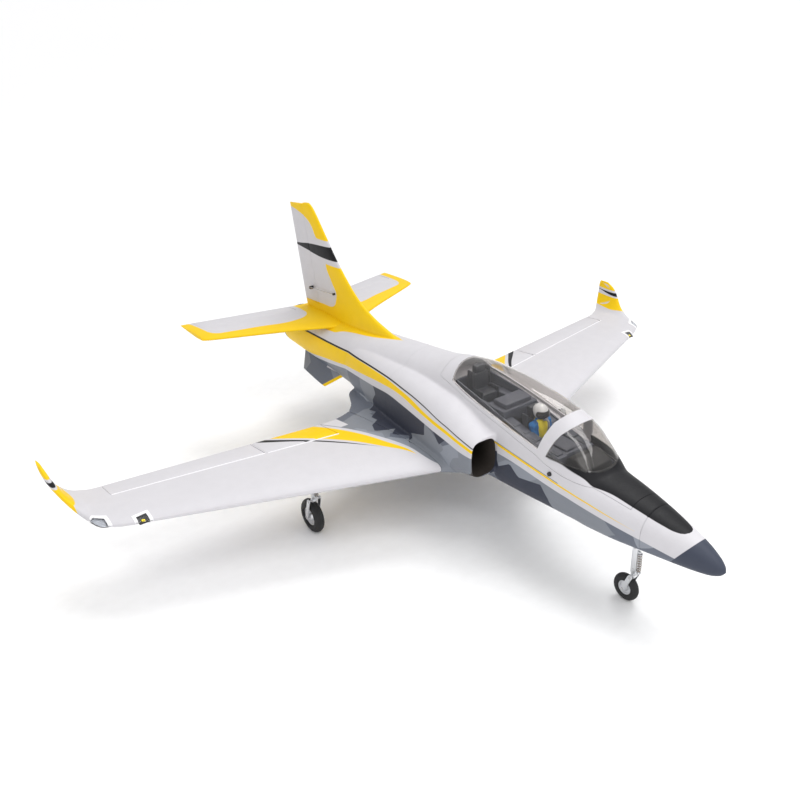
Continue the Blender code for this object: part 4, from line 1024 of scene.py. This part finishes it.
def make_canopy():
    """The lift-off hatch: its painted frame, the windscreen and the long canopy."""
    front, rear = HATCH_Y[0] + RUNNING_GAP, HATCH_Y[1] - RUNNING_GAP

    def dome(name, depth, start, end, material):
        shell = make_piece(name, *body_shape(start, end), material)
        return combine(shell, "DIFFERENCE", body_shape(start - 0.01, end + 0.01, depth))

    hatch_frame = dome("canopy_frame_skin", 0.003, front, rear, "hull")
    combine(hatch_frame, "INTERSECT", prism_shape(sill_outline(front, rear, HATCH_RIM - RUNNING_GAP), 0, -0.2, 0.2))
    combine(hatch_frame, "DIFFERENCE", prism_shape(WINDSCREEN_EDGE, 0, -0.1, 0.1),
            prism_shape(CANOPY_EDGE, 0, -0.1, 0.1))
    attach(hatch_frame, "hatch", ["canopy_frame"])
    for name, edge, start, end in (("windscreen", WINDSCREEN_EDGE, 0.165, 0.256),
                                   ("canopy_glass", CANOPY_EDGE, 0.24, 0.468)):
        glass = dome(f"{name}_clear", 0.001, start, end, "glass")
        combine(glass, "INTERSECT", prism_shape(edge, 0, -0.1, 0.1))
        glass.visible_shadow = False
        attach(glass, "hatch", [name])


# ---------------------------------------------------------------- wings
def wing_sections(side):
    stations = (WING_ROOT_X, 0.11, 0.125, 0.14, 0.155, 0.21, 0.27, 0.35, 0.43, 0.49)
    sections = [((side * x, wing_lead(x), wing_height(x)), (side * x, wing_trail(x), wing_height(x)),
                 wing_thickness(x)) for x in stations]
    sections += [((side * lead[0], *lead[1:]), (side * trail[0], *trail[1:]), depth)
                 for lead, trail, depth in WINGLET]
    return sections


def control_space(side, span, hinge, height, radius):
    outline = [(side * x, hinge(x) - radius - RUNNING_GAP) for x in span]
    outline += [(side * x, hinge(x) + 0.12) for x in reversed(span)]
    return prism_shape(outline, 2, height - 0.05, height + 0.05)


def tip_block(side, plan):
    """A block over a plan of (x, y), tall enough to pass through the wing's end."""
    return prism_shape([(side * x, y) for x, y in plan], 2, 0.09, 0.15)


def hinge_bead(side, span, radius_back):
    """The raised lip of foam along the front of a hinge line."""
    path = []
    for x in spread(span[0], span[1], 0.02):
        y = wing_hinge(x) - radius_back - 0.0016
        path.append((side * x, y, wing_height(x) + wing_half_depth(x, y) - 0.0001))
    return tube_shape(path, 0.0011, 12)


def make_wing(side, tag):
    panel = make_piece(f"wing_{tag}_skin", *surface_shape(smooth_sections(wing_sections(side), 6)), "wing")
    cutters = []
    beads = []
    for label, span in (("aileron", AILERON_X), ("flap", FLAP_X)):
        radius = max(wing_half_depth(x, wing_hinge(x)) for x in span)
        cutters.append(control_space(side, span, wing_hinge, 0.118, radius))
        beads.append(hinge_bead(side, (span[0] + 0.001, span[1] - 0.001), radius))
        ends = []
        for x in (span[0] + RUNNING_GAP, span[1] - RUNNING_GAP):
            y, z = wing_hinge(x), wing_height(x)
            ends.append(((side * x, y, z), (side * x, wing_trail(x), z), wing_half_depth(x, y) - 0.0002))
        build(f"{label}_{tag}_skin", f"{label}_{tag}", "wing", control_shape(ends), bevel=0.0004,
              replaces=[f"{label}_{tag}"])
    wheel_x = MAIN_GEAR_X - (MAIN_PIVOT_Z - MAIN_WHEEL_RADIUS)
    well_top = MAIN_PIVOT_Z + WELL_ROOM
    rim = circle((side * (wheel_x + WELL_SHIFT), MAIN_AXLE_Y, 0.0), MAIN_WHEEL_RADIUS + WELL_GAP, 2, 64)
    rim = [(x, y + (WELL_AFT if y > MAIN_AXLE_Y + 0.0001 else 0.0)) for x, y, _ in rim]
    cutters.append(prism_shape(rim, 2, 0.08, well_top))
    cutters.append(side_box(side, (wheel_x, MAIN_GEAR_Y - 0.013, 0.08), (0.2615, MAIN_GEAR_Y + 0.013, well_top)))
    for _, x, y in SERVOS:
        cutters.append(box_shape((side * x - 0.011, y - 0.006, 0.09),
                                 (side * x + 0.011, y + 0.006, wing_height(x) + 0.0045)))
    light_low = (side * LANDING_LIGHT_X - 0.00925, 0.534)
    light_high = (side * LANDING_LIGHT_X + 0.00925, 0.554)
    light_block = box_shape((*light_low, 0.1), (*light_high, 0.14))
    nav_block = tip_block(side, NAV_LIGHT_PLAN)
    combine(panel, "DIFFERENCE", *cutters, light_block, nav_block)
    attach(panel, "airframe", [f"wing_{tag}"])
    # the beads' brighter white is a painted highlight along the hinge ridges
    build(f"hinge_beads_{tag}", "airframe", "bead", *beads)
    make_lights(side, tag, light_low, light_high, light_block, nav_block)


def make_lights(side, tag, low, high, light_block, nav_block):
    """The clear covers let into the leading edge and the tip, with what shines under them."""
    sections = smooth_sections(wing_sections(side), 6)
    light_rim = box_shape((low[0] - 0.0015, low[1] - 0.002, 0.1), (high[0] + 0.0015, high[1] + 0.0015, 0.14))
    light_opening = box_shape((low[0] + 0.0025, low[1] - 0.01, 0.1), (high[0] - 0.0025, high[1] - 0.003, 0.14))
    nav_rim, nav_opening = tip_block(side, NAV_RIM_PLAN), tip_block(side, NAV_OPENING_PLAN)
    for name, block, rim, opening in (("landing_light", light_block, light_rim, light_opening),
                                      ("nav_light", nav_block, nav_rim, nav_opening)):
        cover = make_piece(f"{name}_{tag}_cover", *surface_shape(sections), "lens")
        combine(cover, "INTERSECT", block)
        combine(cover, "DIFFERENCE", surface_shape(sections, thinner=0.0009))
        cover.visible_shadow = False
        attach(cover, "airframe", [f"{name}_{tag}"])
        surround = make_piece(f"{name}_{tag}_surround", *surface_shape(sections, thinner=-0.0005), "bead")
        combine(surround, "INTERSECT", rim)
        combine(surround, "DIFFERENCE", surface_shape(sections, thinner=0.0004), opening)
        attach(surround, "airframe")
        tray_material = "black" if name == "landing_light" else "mask"
        tray = make_piece(f"{name}_{tag}_tray", *surface_shape(sections, thinner=0.0028), tray_material)
        combine(tray, "INTERSECT", block)
        attach(tray, "airframe", slot="black_plastic")
    x, y = side * LANDING_LIGHT_X, (low[1] + high[1]) / 2
    top = wing_height(LANDING_LIGHT_X) + wing_half_depth(LANDING_LIGHT_X, y) - 0.0026
    build(f"landing_lamp_{tag}", "airframe", "amber",
          rod_shape((x, y, top - 0.0006), 0.0014, 0.0026, 2, 28), bevel=0.0003)
    build(f"landing_lamp_base_{tag}", "airframe", "black",
          box_shape((x - 0.0066, y - 0.0045, top - 0.0022), (x + 0.0066, y + 0.0045, top - 0.0004)), bevel=0.0004)


# ---------------------------------------------------------------- tail
def make_tail():
    half = [((x, lead, z), (x, trail, z), depth) for x, lead, trail, z, depth in TAILPLANE]
    other = [((-lead[0], *lead[1:]), (-trail[0], *trail[1:]), depth) for lead, trail, depth in reversed(half[1:])]
    tail = make_piece("tailplane_skin", *surface_shape(smooth_sections(other + half, 8)), "tail")
    for side, tag in SIDES:
        ends = []
        for x in (ELEVATOR_X[0] + RUNNING_GAP, ELEVATOR_X[1] - RUNNING_GAP):
            z, y = interpolate(TAILPLANE, x, 3), elevator_hinge(x)
            lead, trail = interpolate(TAILPLANE, x, 1), interpolate(TAILPLANE, x, 2)
            radius = half_thickness((y - lead) / (trail - lead), interpolate(TAILPLANE, x, 4)) - 0.0002
            ends.append(((side * x, y, z), (side * x, trail, z), radius))
        combine(tail, "DIFFERENCE",
                control_space(side, ELEVATOR_X, elevator_hinge, 0.195, max(end[2] for end in ends)))
        build(f"elevator_{tag}_skin", f"elevator_{tag}", "tail", control_shape(ends), bevel=0.0003,
              replaces=[f"elevator_{tag}"])
    attach(tail, "airframe", ["tailplane"])

    fin = make_piece("fin_skin", *surface_shape(smooth_sections(
        [((0, lead, z), (0, trail, z - fin_tip_slope(z)), depth) for z, lead, trail, depth in FIN], 8)), "fin")
    outline = [(rudder_hinge(z) - RUDDER_NOSE_RADIUS - RUNNING_GAP, z) for z in (RUDDER_Z[0], 0.4)]
    outline += [(0.99, 0.4), (0.99, RUDDER_Z[0])]
    combine(fin, "DIFFERENCE", prism_shape(outline, 0, -0.03, 0.03),
            box_shape((-0.03, 0.775, 0.15), (0.03, 0.96, 0.1985)), body_shape(0.57, TAIL_END_Y, 0.006))
    attach(fin, "airframe", ["fin"])
    ends = []
    for z in (RUDDER_Z[0] + RUNNING_GAP, RUDDER_Z[1]):
        lead, trail = interpolate(FIN, z, 1), interpolate(FIN, z, 2)
        nose = half_thickness((rudder_hinge(z) - lead) / (trail - lead), interpolate(FIN, z, 3))
        ends.append(((0, rudder_hinge(z), z - 0.4 * fin_tip_slope(z)), (0, trail, z - fin_tip_slope(z)),
                     min(nose, RUDDER_NOSE_RADIUS)))
    build("rudder_skin", "rudder", "fin", control_shape(ends), bevel=0.0003, replaces=["rudder"])

    for side, tag in SIDES:
        ventral = make_piece(f"ventral_fin_{tag}_skin", *surface_shape(smooth_sections([
            ((side * 0.024, 0.742, 0.124), (side * 0.02, 0.889, 0.134), 0.007),
            ((side * 0.047, 0.781, 0.0945), (side * 0.045, 0.86, 0.104), 0.0045),
            ((side * 0.049, 0.785, 0.0925), (side * 0.047, 0.857, 0.102), 0.002)], 8)), "ventral")
        combine(ventral, "DIFFERENCE", body_shape(0.7, TAIL_END_Y, 0.003))
        attach(ventral, "airframe", [f"ventral_fin_{tag}"])


def make_pushrod(name, path):
    """A thin steel rod along a path, on no body, with its placement baked into its mesh."""
    rod = build(name, None, "steel", tube_shape(path, PUSHROD_RADIUS, 8))
    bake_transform(rod)


def make_linkages():
    """Servo arms, pushrods, clevises and horns of the rudder, the ailerons and the flaps."""
    horn_y, horn_z = 0.8775, 0.233
    build("rudder_horn", "rudder", "black",
          prism_shape([(horn_y - 0.003, horn_z + 0.004), (horn_y + 0.003, horn_z + 0.004),
                       (horn_y + 0.001, horn_z + 0.009), (horn_y - 0.002, horn_z + 0.009)], 0, -0.01, -0.003),
          bevel=0.0003)
    path = [(-0.0092, y, 0.2475 - 0.09 * (y - 0.8)) for y in spread(0.801, horn_y, 0.003)]
    make_pushrod("rudder_pushrod", path)
    build("rudder_servo_arm", "airframe", "black",
          box_shape((-0.0102, 0.7995, 0.2455), (-0.003, 0.8025, 0.249)), bevel=0.0006)
    build("rudder_clevis", "rudder", "bronze",
          box_shape((-0.0105, horn_y - 0.009, horn_z + 0.006), (-0.008, horn_y + 0.001, horn_z + 0.0082)),
          bevel=0.0005, slot="black_plastic")
    for side, tag in SIDES:
        for label, x, y in SERVOS:
            depth = wing_half_depth(x, y)
            floor = wing_height(x) - depth
            arm_x = side * (x + 0.0135)
            hinge_y = wing_hinge(x) + 0.006
            under = wing_height(x) - wing_half_depth(x, wing_hinge(x)) - 0.0075
            build(f"{label}_servo_arm_{tag}", "airframe", "black",
                  side_box(side, (x, y - 0.0022, floor - 0.0032), (x + 0.0135, y + 0.0022, floor - 0.0015)),
                  bevel=0.0006)
            build(f"{label}_horn_{tag}", f"{label}_{tag}", "black",
                  prism_shape([(hinge_y - 0.005, under + 0.0085), (hinge_y + 0.006, under + 0.0085),
                               (hinge_y + 0.001, under - 0.001), (hinge_y - 0.003, under - 0.001)], 0,
                              arm_x - 0.0008, arm_x + 0.0008), bevel=0.0002)
            path = [(arm_x, y + (hinge_y - y) * t, floor - 0.0024 + (under + 0.001 - floor + 0.0024) * t)
                    for t in (k / 24 for k in range(25))]
            make_pushrod(f"{label}_pushrod_{tag}", path)


# ---------------------------------------------------------------- cockpit
def make_cockpit():
    tub_rows = ((0.188, 0.029, 0.15, 0.17), (0.25, 0.034, 0.144, 0.176), (0.362, 0.0355, 0.144, 0.204),
                (0.38, 0.035, 0.183, 0.208), (0.448, 0.03, 0.188, 0.218))
    hollow_rows = ((0.192, 0.027, 0.152, 0.23), (0.25, 0.032, 0.146, 0.23), (0.36, 0.0335, 0.146, 0.23),
                   (0.379, 0.033, 0.185, 0.24), (0.446, 0.028, 0.19, 0.25))

    def trough(rows):
        return loft_shape([[(x * w, y, z) for x, z in ((-1, floor), (1, floor), (1, top), (-1, top))]
                           for y, w, floor, top in rows])

    tub = make_piece("cockpit_tub_skin", *trough(tub_rows), "tub")
    combine(tub, "DIFFERENCE", trough(hollow_rows))
    attach(tub, "hatch", ["cockpit_tub"])
    consoles = []
    for side, _ in SIDES:
        consoles.append(prism_shape([(0.238, 0.15), (0.352, 0.15), (0.352, 0.196), (0.3, 0.188),
                                     (0.262, 0.1815), (0.238, 0.1795)], 0,
                                    *sorted((side * 0.0165, side * 0.032))))
        for k in range(5):
            y = 0.243 + 0.02 * k
            height = 0.18 + 0.14 * max(0.0, y - 0.246)
            consoles.append(side_box(side, (0.0195, y, height - 0.003), (0.03, y + 0.014, height + 0.0022)))
        consoles.append(side_box(side, (0.0175, 0.382, 0.188), (0.031, 0.44, 0.199)))
    build("side_consoles", "hatch", "tub", *consoles, bevel=0.0007)
    build("rear_deck", "hatch", "tub",
          box_shape((-0.032, 0.344, 0.186), (0.032, 0.379, 0.206)),
          box_shape((-0.024, 0.348, 0.205), (0.024, 0.374, 0.213)),
          box_shape((-0.017, 0.24, 0.156), (0.017, 0.29, 0.18)),
          box_shape((-0.013, 0.244, 0.179), (0.013, 0.284, 0.1832)), bevel=0.0014)
    hood = prism_shape([(0.196, 0.164), (0.233, 0.164), (0.2345, 0.176), (0.23, 0.1835), (0.218, 0.1855),
                        (0.1985, 0.176)], 0, -0.0245, 0.0245)
    build("panel_hood", "hatch", "black", hood, bevel=0.0022, replaces=["instrument_panel"],
          slot="cockpit_plastic")
    screens = [box_shape((x - 0.005, 0.2338, 0.166), (x + 0.005, 0.2352, 0.1745)) for x in (-0.013, 0.0, 0.013)]
    build("panel_screens", "hatch", "screen", *screens, bevel=0.0005)

    for name, y, floor, top in (("front_seat", 0.32, 0.1465, 0.2165), ("rear_seat", 0.433, 0.1905, 0.2385)):
        rise = top - floor
        shapes = [box_shape((-0.015, y - 0.026, floor), (0.015, y - 0.002, floor + min(0.012, rise * 0.3))),
                  box_shape((-0.014, y - 0.006, floor + 0.002), (0.014, y + 0.004, top - rise * 0.22)),
                  box_shape((-0.009, y - 0.005, top - rise * 0.24), (0.009, y + 0.004, top))]
        for side, _ in SIDES:
            shapes.append(box_shape((side * 0.016 - 0.0014, y - 0.007, floor),
                                    (side * 0.016 + 0.0014, y + 0.005, top - rise * 0.12)))
            shapes.append(box_shape((side * 0.0152 - 0.0018, y - 0.027, floor),
                                    (side * 0.0152 + 0.0018, y - 0.006, floor + min(0.018, rise * 0.42))))
        build(f"{name}_shell", "hatch", "seat", *shapes, bevel=0.0016, replaces=[name])
    make_pilot()


def trunk_shape(y, rows):
    """Rounded slices about a point y behind the nose. Each row is a height, a half width and a half depth."""
    turn = [2 * math.pi * k / 32 for k in range(32)]
    return loft_shape([[(w * rounded(math.cos(a), 2.5), y + d * math.sin(a), h) for a in turn] for h, w, d in rows])


def make_pilot():
    """A small seated figure with a helmet, a dark visor and a breathing mask, so that no face shows."""
    y, z, r = PILOT_Y, HELMET_Z, HELMET_RADIUS
    torso = trunk_shape(y + 0.001, (
        (0.1595, 0.011, 0.008), (0.17, 0.0115, 0.0085), (0.183, 0.013, 0.0088), (0.192, 0.0135, 0.0084),
        (0.1975, 0.012, 0.007), (0.201, 0.0075, 0.0055), (0.2045, 0.005, 0.0045)))
    build("pilot_torso", "hatch", "suit", torso, replaces=["pilot_body"])
    arms = []
    for side, _ in SIDES:
        arms.append(ball_shape((side * 0.013, y + 0.0005, 0.194), (0.006, 0.0066, 0.0062)))
        arms.append(tube_shape([(side * 0.014, y, 0.193), (side * 0.015, y - 0.002, 0.185),
                                (side * 0.013, y - 0.006, 0.176), (side * 0.011, y - 0.012, 0.17)], 0.0045, 16))
        arms.append(tube_shape([(side * 0.007, y - 0.002, 0.162), (side * 0.0085, y - 0.02, 0.164),
                                (side * 0.009, y - 0.036, 0.161)], 0.0056, 16))
    build("pilot_limbs", "hatch", "suit", *arms)
    vest = trunk_shape(y + 0.0004, (
        (0.176, 0.009, 0.0094), (0.179, 0.0096, 0.0102), (0.19, 0.0106, 0.0102), (0.1965, 0.0098, 0.009),
        (0.2006, 0.0078, 0.0074), (0.2025, 0.006, 0.006)))
    build("pilot_vest", "hatch", "vest", vest)
    centre = (0, y - 0.0005, z)
    build("pilot_helmet_shell", "hatch", "helmet",
          ball_shape(centre, (r, r * 1.1, r * 1.08), 40, 24),
          ball_shape((0, y + 0.001, z + 0.001), (r * 0.92, r * 1.08, r * 0.96), 40, 20), replaces=["pilot_helmet"])
    visor = ball_shape((0, y - 0.0022, z - 0.001), (r * 1.02, r * 1.12, r * 0.98), 40, 24)
    item = build("pilot_visor", "hatch", "visor", visor)
    combine(item, "INTERSECT", prism_shape([(y - 0.03, z - 0.007), (y - 0.004, z - 0.007), (y - 0.001, z - 0.002),
                                            (y - 0.003, z + 0.0036), (y - 0.03, z + 0.0036)], 0, -0.02, 0.02))
    build("pilot_mask", "hatch", "mask",
          ball_shape((0, y - 0.0088, z - 0.0062), (0.0042, 0.0042, 0.0046), 28, 14),
          tube_shape([(0, y - 0.012, z - 0.0075), (0.001, y - 0.015, z - 0.011), (0.003, y - 0.014, z - 0.018),
                      (0.006, y - 0.011, z - 0.025)], 0.0016, 14))


# ---------------------------------------------------------------- landing gear
def capsule(start, end, half_width):
    """An outline in (y, z) round two points."""
    run = Vector((end[0] - start[0], end[1] - start[1])).normalized()
    angle = math.atan2(run.y, run.x)
    outline = []
    for centre, first in ((end, angle - math.pi / 2), (start, angle + math.pi / 2)):
        for k in range(13):
            a = first + math.pi * k / 12
            outline.append((centre[0] + half_width * math.cos(a), centre[1] + half_width * math.sin(a)))
    return outline


def make_wheel(name, body, centre, radius, half_width, hub_radius):
    """A ribbed tyre on a machined hub."""
    depth = radius - hub_radius - 0.0022
    profile = [(half_width * 0.72, hub_radius + GAP)]
    for k in range(25):
        angle = math.pi * k / 24
        groove = 0.0005 if k in (9, 12, 15) else 0.0
        profile.append((half_width * math.cos(angle), radius - depth + (depth - groove) * math.sin(angle) ** 0.85))
    profile.append((-half_width * 0.72, hub_radius + GAP))
    build(f"{name}_tyre_tread", body, "rubber", turned_shape(centre, profile, 0, 96), replaces=[f"{name}_tyre"])
    w = half_width * 0.8
    outline = [(w, 0.0021), (w, hub_radius * 0.36), (w * 0.92, hub_radius * 0.42), (w * 0.45, hub_radius * 0.52),
               (w * 0.45, hub_radius * 0.8), (w * 0.78, hub_radius * 0.88), (w * 0.8, hub_radius)]
    outline += [(-along, reach) for along, reach in reversed(outline)]
    shapes = [turned_shape(centre, outline, 0, 72)]
    for k in range(6):
        angle = 2 * math.pi * k / 6
        spot = (0, centre[1] + hub_radius * 0.66 * math.cos(angle), centre[2] + hub_radius * 0.66 * math.sin(angle))
        shapes.append(rod_shape((centre[0] - w * 0.6, spot[1], spot[2]), w * 1.2, hub_radius * 0.09, 0, 12, 0.0001))
    build(f"{name}_hub_machined", body, "alloy", *shapes, replaces=[f"{name}_hub"])


def make_fork(name, body, knee, axle, half_width, plate):
    inner = half_width + 0.001
    shapes = []
    for side, _ in SIDES:
        low, high = sorted((side * inner, side * (inner + plate)))
        shapes.append(prism_shape(capsule(knee[1:], axle[1:], 0.0034), 0, knee[0] + low, knee[0] + high))
    build(f"{name}_plates", body, "alloy", *shapes, bevel=0.0003, replaces=[name])
    reach = inner + plate + 0.0001
    pins = [rod_shape((spot[0] - reach, spot[1], spot[2]), 2 * reach, size, 0, 20, 0.0002)
            for spot, size in ((knee, 0.0016), (axle, 0.0018))]
    heads = [rod_shape((spot[0] + side * reach - (0.0009 if side > 0 else 0.0003), spot[1], spot[2]), 0.0012, 0.0026,
                       0, 6, 0.0002) for spot in (knee, axle) for side, _ in SIDES]
    build(f"{name}_pins", body, "steel", *pins, *heads)


def make_strut(name, body, top_z, knee, width, depth, pivot=None):
    """A flat leg with a coil-over shock absorber on its front."""
    x, y, knee_z = knee
    outline = [(y - depth, knee_z + 0.006), (y - depth * 0.6, knee_z + 0.0028), (y + depth * 0.6, knee_z + 0.0028),
               (y + depth, knee_z + 0.006), (y + depth, top_z), (y - depth, top_z)]
    shapes = [prism_shape(outline, 0, x - width, x + width), rod_shape((x - 0.004, y, knee_z), 0.008, 0.0036, 0, 28)]
    if pivot:
        shapes.append(rod_shape((pivot[0], pivot[1] - 0.0076, pivot[2]), 0.0152, 0.0042, 1, 32))
    shock_y = y - depth - 0.0032
    low, high = knee_z + 0.007, top_z - 0.0115
    for z in (low, high - 0.004):
        shapes.append(box_shape((x - 0.0016, shock_y - 0.001, z), (x + 0.0016, y, z + 0.004)))
    build(f"{name}_leg", body, "alloy", *shapes, bevel=0.0005, replaces=[name])
    build(f"{name}_damper", body, "steel",
          rod_shape((x, shock_y, low - 0.001), high - low, 0.0013, 2, 20),
          rod_shape((x, shock_y, low + 0.001), 0.0016, 0.003, 2, 24),
          rod_shape((x, shock_y, high - 0.0042), 0.0016, 0.003, 2, 24))
    turns, wire = 7, 0.00048
    start, end = low + 0.0028, high - 0.0044
    coil = []
    for k in range(turns * 20 + 1):
        angle = 2 * math.pi * k / 20
        coil.append((x + 0.0024 * math.cos(angle), shock_y + 0.0024 * math.sin(angle),
                     start + (end - start) * k / (turns * 20)))
    build(f"{name}_spring", body, "bronze", tube_shape(coil, wire, 8))
    screws = [rod_shape((x - width - 0.0005, y + shift, z), 2 * width + 0.001, 0.0012, 0, 16, 0.0002)
              for shift, z in ((0.0, top_z - 0.009), (0.0, knee_z + 0.0115))]
    build(f"{name}_screws", body, "steel", *screws)


def make_gear():
    for side, tag in SIDES:
        pivot = (side * MAIN_GEAR_X, MAIN_GEAR_Y, MAIN_PIVOT_Z)
        knee = (side * MAIN_GEAR_X, MAIN_GEAR_Y, MAIN_KNEE_Z)
        axle = (side * MAIN_GEAR_X, MAIN_AXLE_Y, MAIN_WHEEL_RADIUS)
        make_strut(f"main_strut_{tag}", f"main_leg_{tag}", MAIN_PIVOT_Z - 0.002, knee, 0.0028, 0.0048, pivot)
        make_fork(f"main_fork_{tag}", f"main_arm_{tag}", knee, axle, 0.0078, 0.0014)
        make_wheel(f"main_{tag}", f"main_wheel_{tag}", axle, MAIN_WHEEL_RADIUS, 0.0075, 0.014)
    knee = (0, NOSE_GEAR_Y - 0.002, NOSE_KNEE_Z)
    axle = (0, NOSE_AXLE_Y, NOSE_WHEEL_RADIUS)
    top = NOSE_PIVOT_Z - 0.012 - RUNNING_GAP
    make_strut("nose_strut", "nose_leg", top, knee, 0.0026, 0.0042)
    build("nose_spindle", "nose_leg", "steel", rod_shape((0, knee[1], top - 0.002), 0.009, 0.0018, 2))
    make_fork("nose_fork", "nose_arm", knee, axle, 0.0062, 0.0013)
    make_wheel("nose", "nose_wheel", axle, NOSE_WHEEL_RADIUS, 0.006, 0.01)


# ---------------------------------------------------------------- small fittings and the CAD pieces that stay
def make_fittings():
    steps = spread(0.662, 0.945, 0.008)
    (front_y, front_z), (rear_y, rear_z) = NOZZLE_FRONT, NOZZLE_REAR
    slope = (rear_z - front_z) / (rear_y - front_y)
    rings = []
    lip = [(y, NOZZLE_RADIUS + 0.0012) for y in steps] + [(0.9456, NOZZLE_RADIUS + 0.0009),
                                                          (0.9456, NOZZLE_RADIUS + 0.0003)]
    lip += [(y, NOZZLE_RADIUS) for y in reversed(steps)]
    for i in range(96):
        angle = 2 * math.pi * i / 96
        rings.append([(r * math.cos(angle), y, front_z + slope * (y - front_y) + r * math.sin(angle))
                      for y, r in lip])
    points, faces = loft_shape(rings + [rings[0]], closed=False)
    nozzle = make_piece("exhaust_tube_wall", points, faces, "nozzle")
    work = bmesh.new()
    work.from_mesh(nozzle.data)
    bmesh.ops.remove_doubles(work, verts=work.verts, dist=0.000001)
    bmesh.ops.recalc_face_normals(work, faces=work.faces)
    work.to_mesh(nozzle.data)
    work.free()
    soften(nozzle)
    attach(nozzle, "airframe", ["exhaust_tube"])
    build("latch_button_cap", "latch_button", "black",
          rod_shape((-0.05, LATCH_Y, LATCH_Z), 0.0125, LATCH_RADIUS, 0, 32, 0.0005), replaces=["hatch_button"])


def dress_cad_nodes():
    """Materials for the CAD pieces that are shown as they are."""
    groups = {
        "black": ["fan_housing", "fan_rotor", "battery_tray", "speed_controller", "receiver", "aileron_servo_left",
                  "aileron_servo_right", "flap_servo_left", "flap_servo_right", "main_retract_left",
                  "main_retract_right", "nose_retract"],
        "alloy": ["nose_trunnion", "fan_motor"], "wrap": ["battery_pack"], "carbon": ["wing_spar"],
    }
    for key, names in groups.items():
        for name in names:
            NODES[name].data.materials.clear()
            NODES[name].data.materials.append(MATERIALS[key])


# ---------------------------------------------------------------- floor, light and camera
def add_lamp(name, kind, spot, turn, energy, **settings):
    lamp = bpy.data.lights.new(name, kind)
    lamp.energy = energy
    for setting, value in settings.items():
        setattr(lamp, setting, value)
    item = show(bpy.data.objects.new(name, lamp))
    item.location = spot
    item.rotation_euler = turn


def make_stage():
    paint = Paint("pale_floor")
    floor_material = paint.finish((0.97, 0.97, 0.975), (0.6, 0.7))
    mesh = bpy.data.meshes.new("floor")
    reach = FLOOR_REACH
    mesh.from_pydata([(-reach, -reach, 0), (reach, -reach, 0), (reach, reach, 0), (-reach, reach, 0)], [],
                     [(0, 1, 2, 3)])
    mesh.materials.append(floor_material)
    floor = show(bpy.data.objects.new("floor", mesh))

    world = bpy.data.worlds.new("studio")
    bpy.context.scene.world = world
    world.use_nodes = True
    background = world.node_tree.nodes["Background"]
    background.inputs["Color"].default_value = (1.0, 1.0, 1.0, 1.0)
    background.inputs["Strength"].default_value = 0.66
    # where each broad light comes from, how wide it spreads and how strong it is
    for name, spot, spread_angle, strength in (("key", (0.9, 0.5, 2.0), 34.0, 1.25),
                                               ("fill", (-1.0, -1.4, 1.3), 50.0, 0.3)):
        turn = Vector(spot).to_track_quat("Z", "Y").to_euler()
        add_lamp(name, "SUN", spot, turn, strength, angle=math.radians(spread_angle))
    # two long lamps overhead, which shine back from the windscreen as streaks
    for name, spot, width, power in (("strip_wide", (0.38, -1.35, 1.75), 0.55, 14.0),
                                     ("strip_narrow", (-0.93, -1.15, 1.75), 0.30, 8.0)):
        add_lamp(name, "AREA", spot, (0.0, 0.0, math.radians(-67.0)), power,
                 shape="RECTANGLE", size=2.0, size_y=width)
    bpy.context.scene.view_settings.view_transform = "Standard"


def make_camera():
    """The camera, ahead of the nose, off the starboard side and above."""
    azimuth, elevation, roll = (math.radians(a) for a in (-39.11, 26.47, 0.77))
    back = Vector((math.sin(azimuth) * math.cos(elevation), -math.cos(azimuth) * math.cos(elevation),
                   math.sin(elevation)))
    right = Vector((math.cos(azimuth), math.sin(azimuth), 0.0))
    up = back.cross(right)
    tilted_right = right * math.cos(roll) - up * math.sin(roll)
    tilted_up = right * math.sin(roll) + up * math.cos(roll)
    data = bpy.data.cameras.new("camera")
    data.sensor_width = 36.0
    data.lens = 40.1
    data.shift_x = -0.063
    camera = show(bpy.data.objects.new("camera", data))
    turn = Matrix((tilted_right, tilted_up, back)).transposed().to_4x4()
    camera.matrix_world = Matrix.Translation(place((-0.767, -0.445, 0.762))) @ turn
    bpy.context.scene.camera = camera


make_camera()
make_stage()
make_hull()
make_canopy()
for side, tag in SIDES:
    make_wing(side, tag)
make_tail()
make_linkages()
make_cockpit()
make_gear()
make_fittings()
dress_cad_nodes()
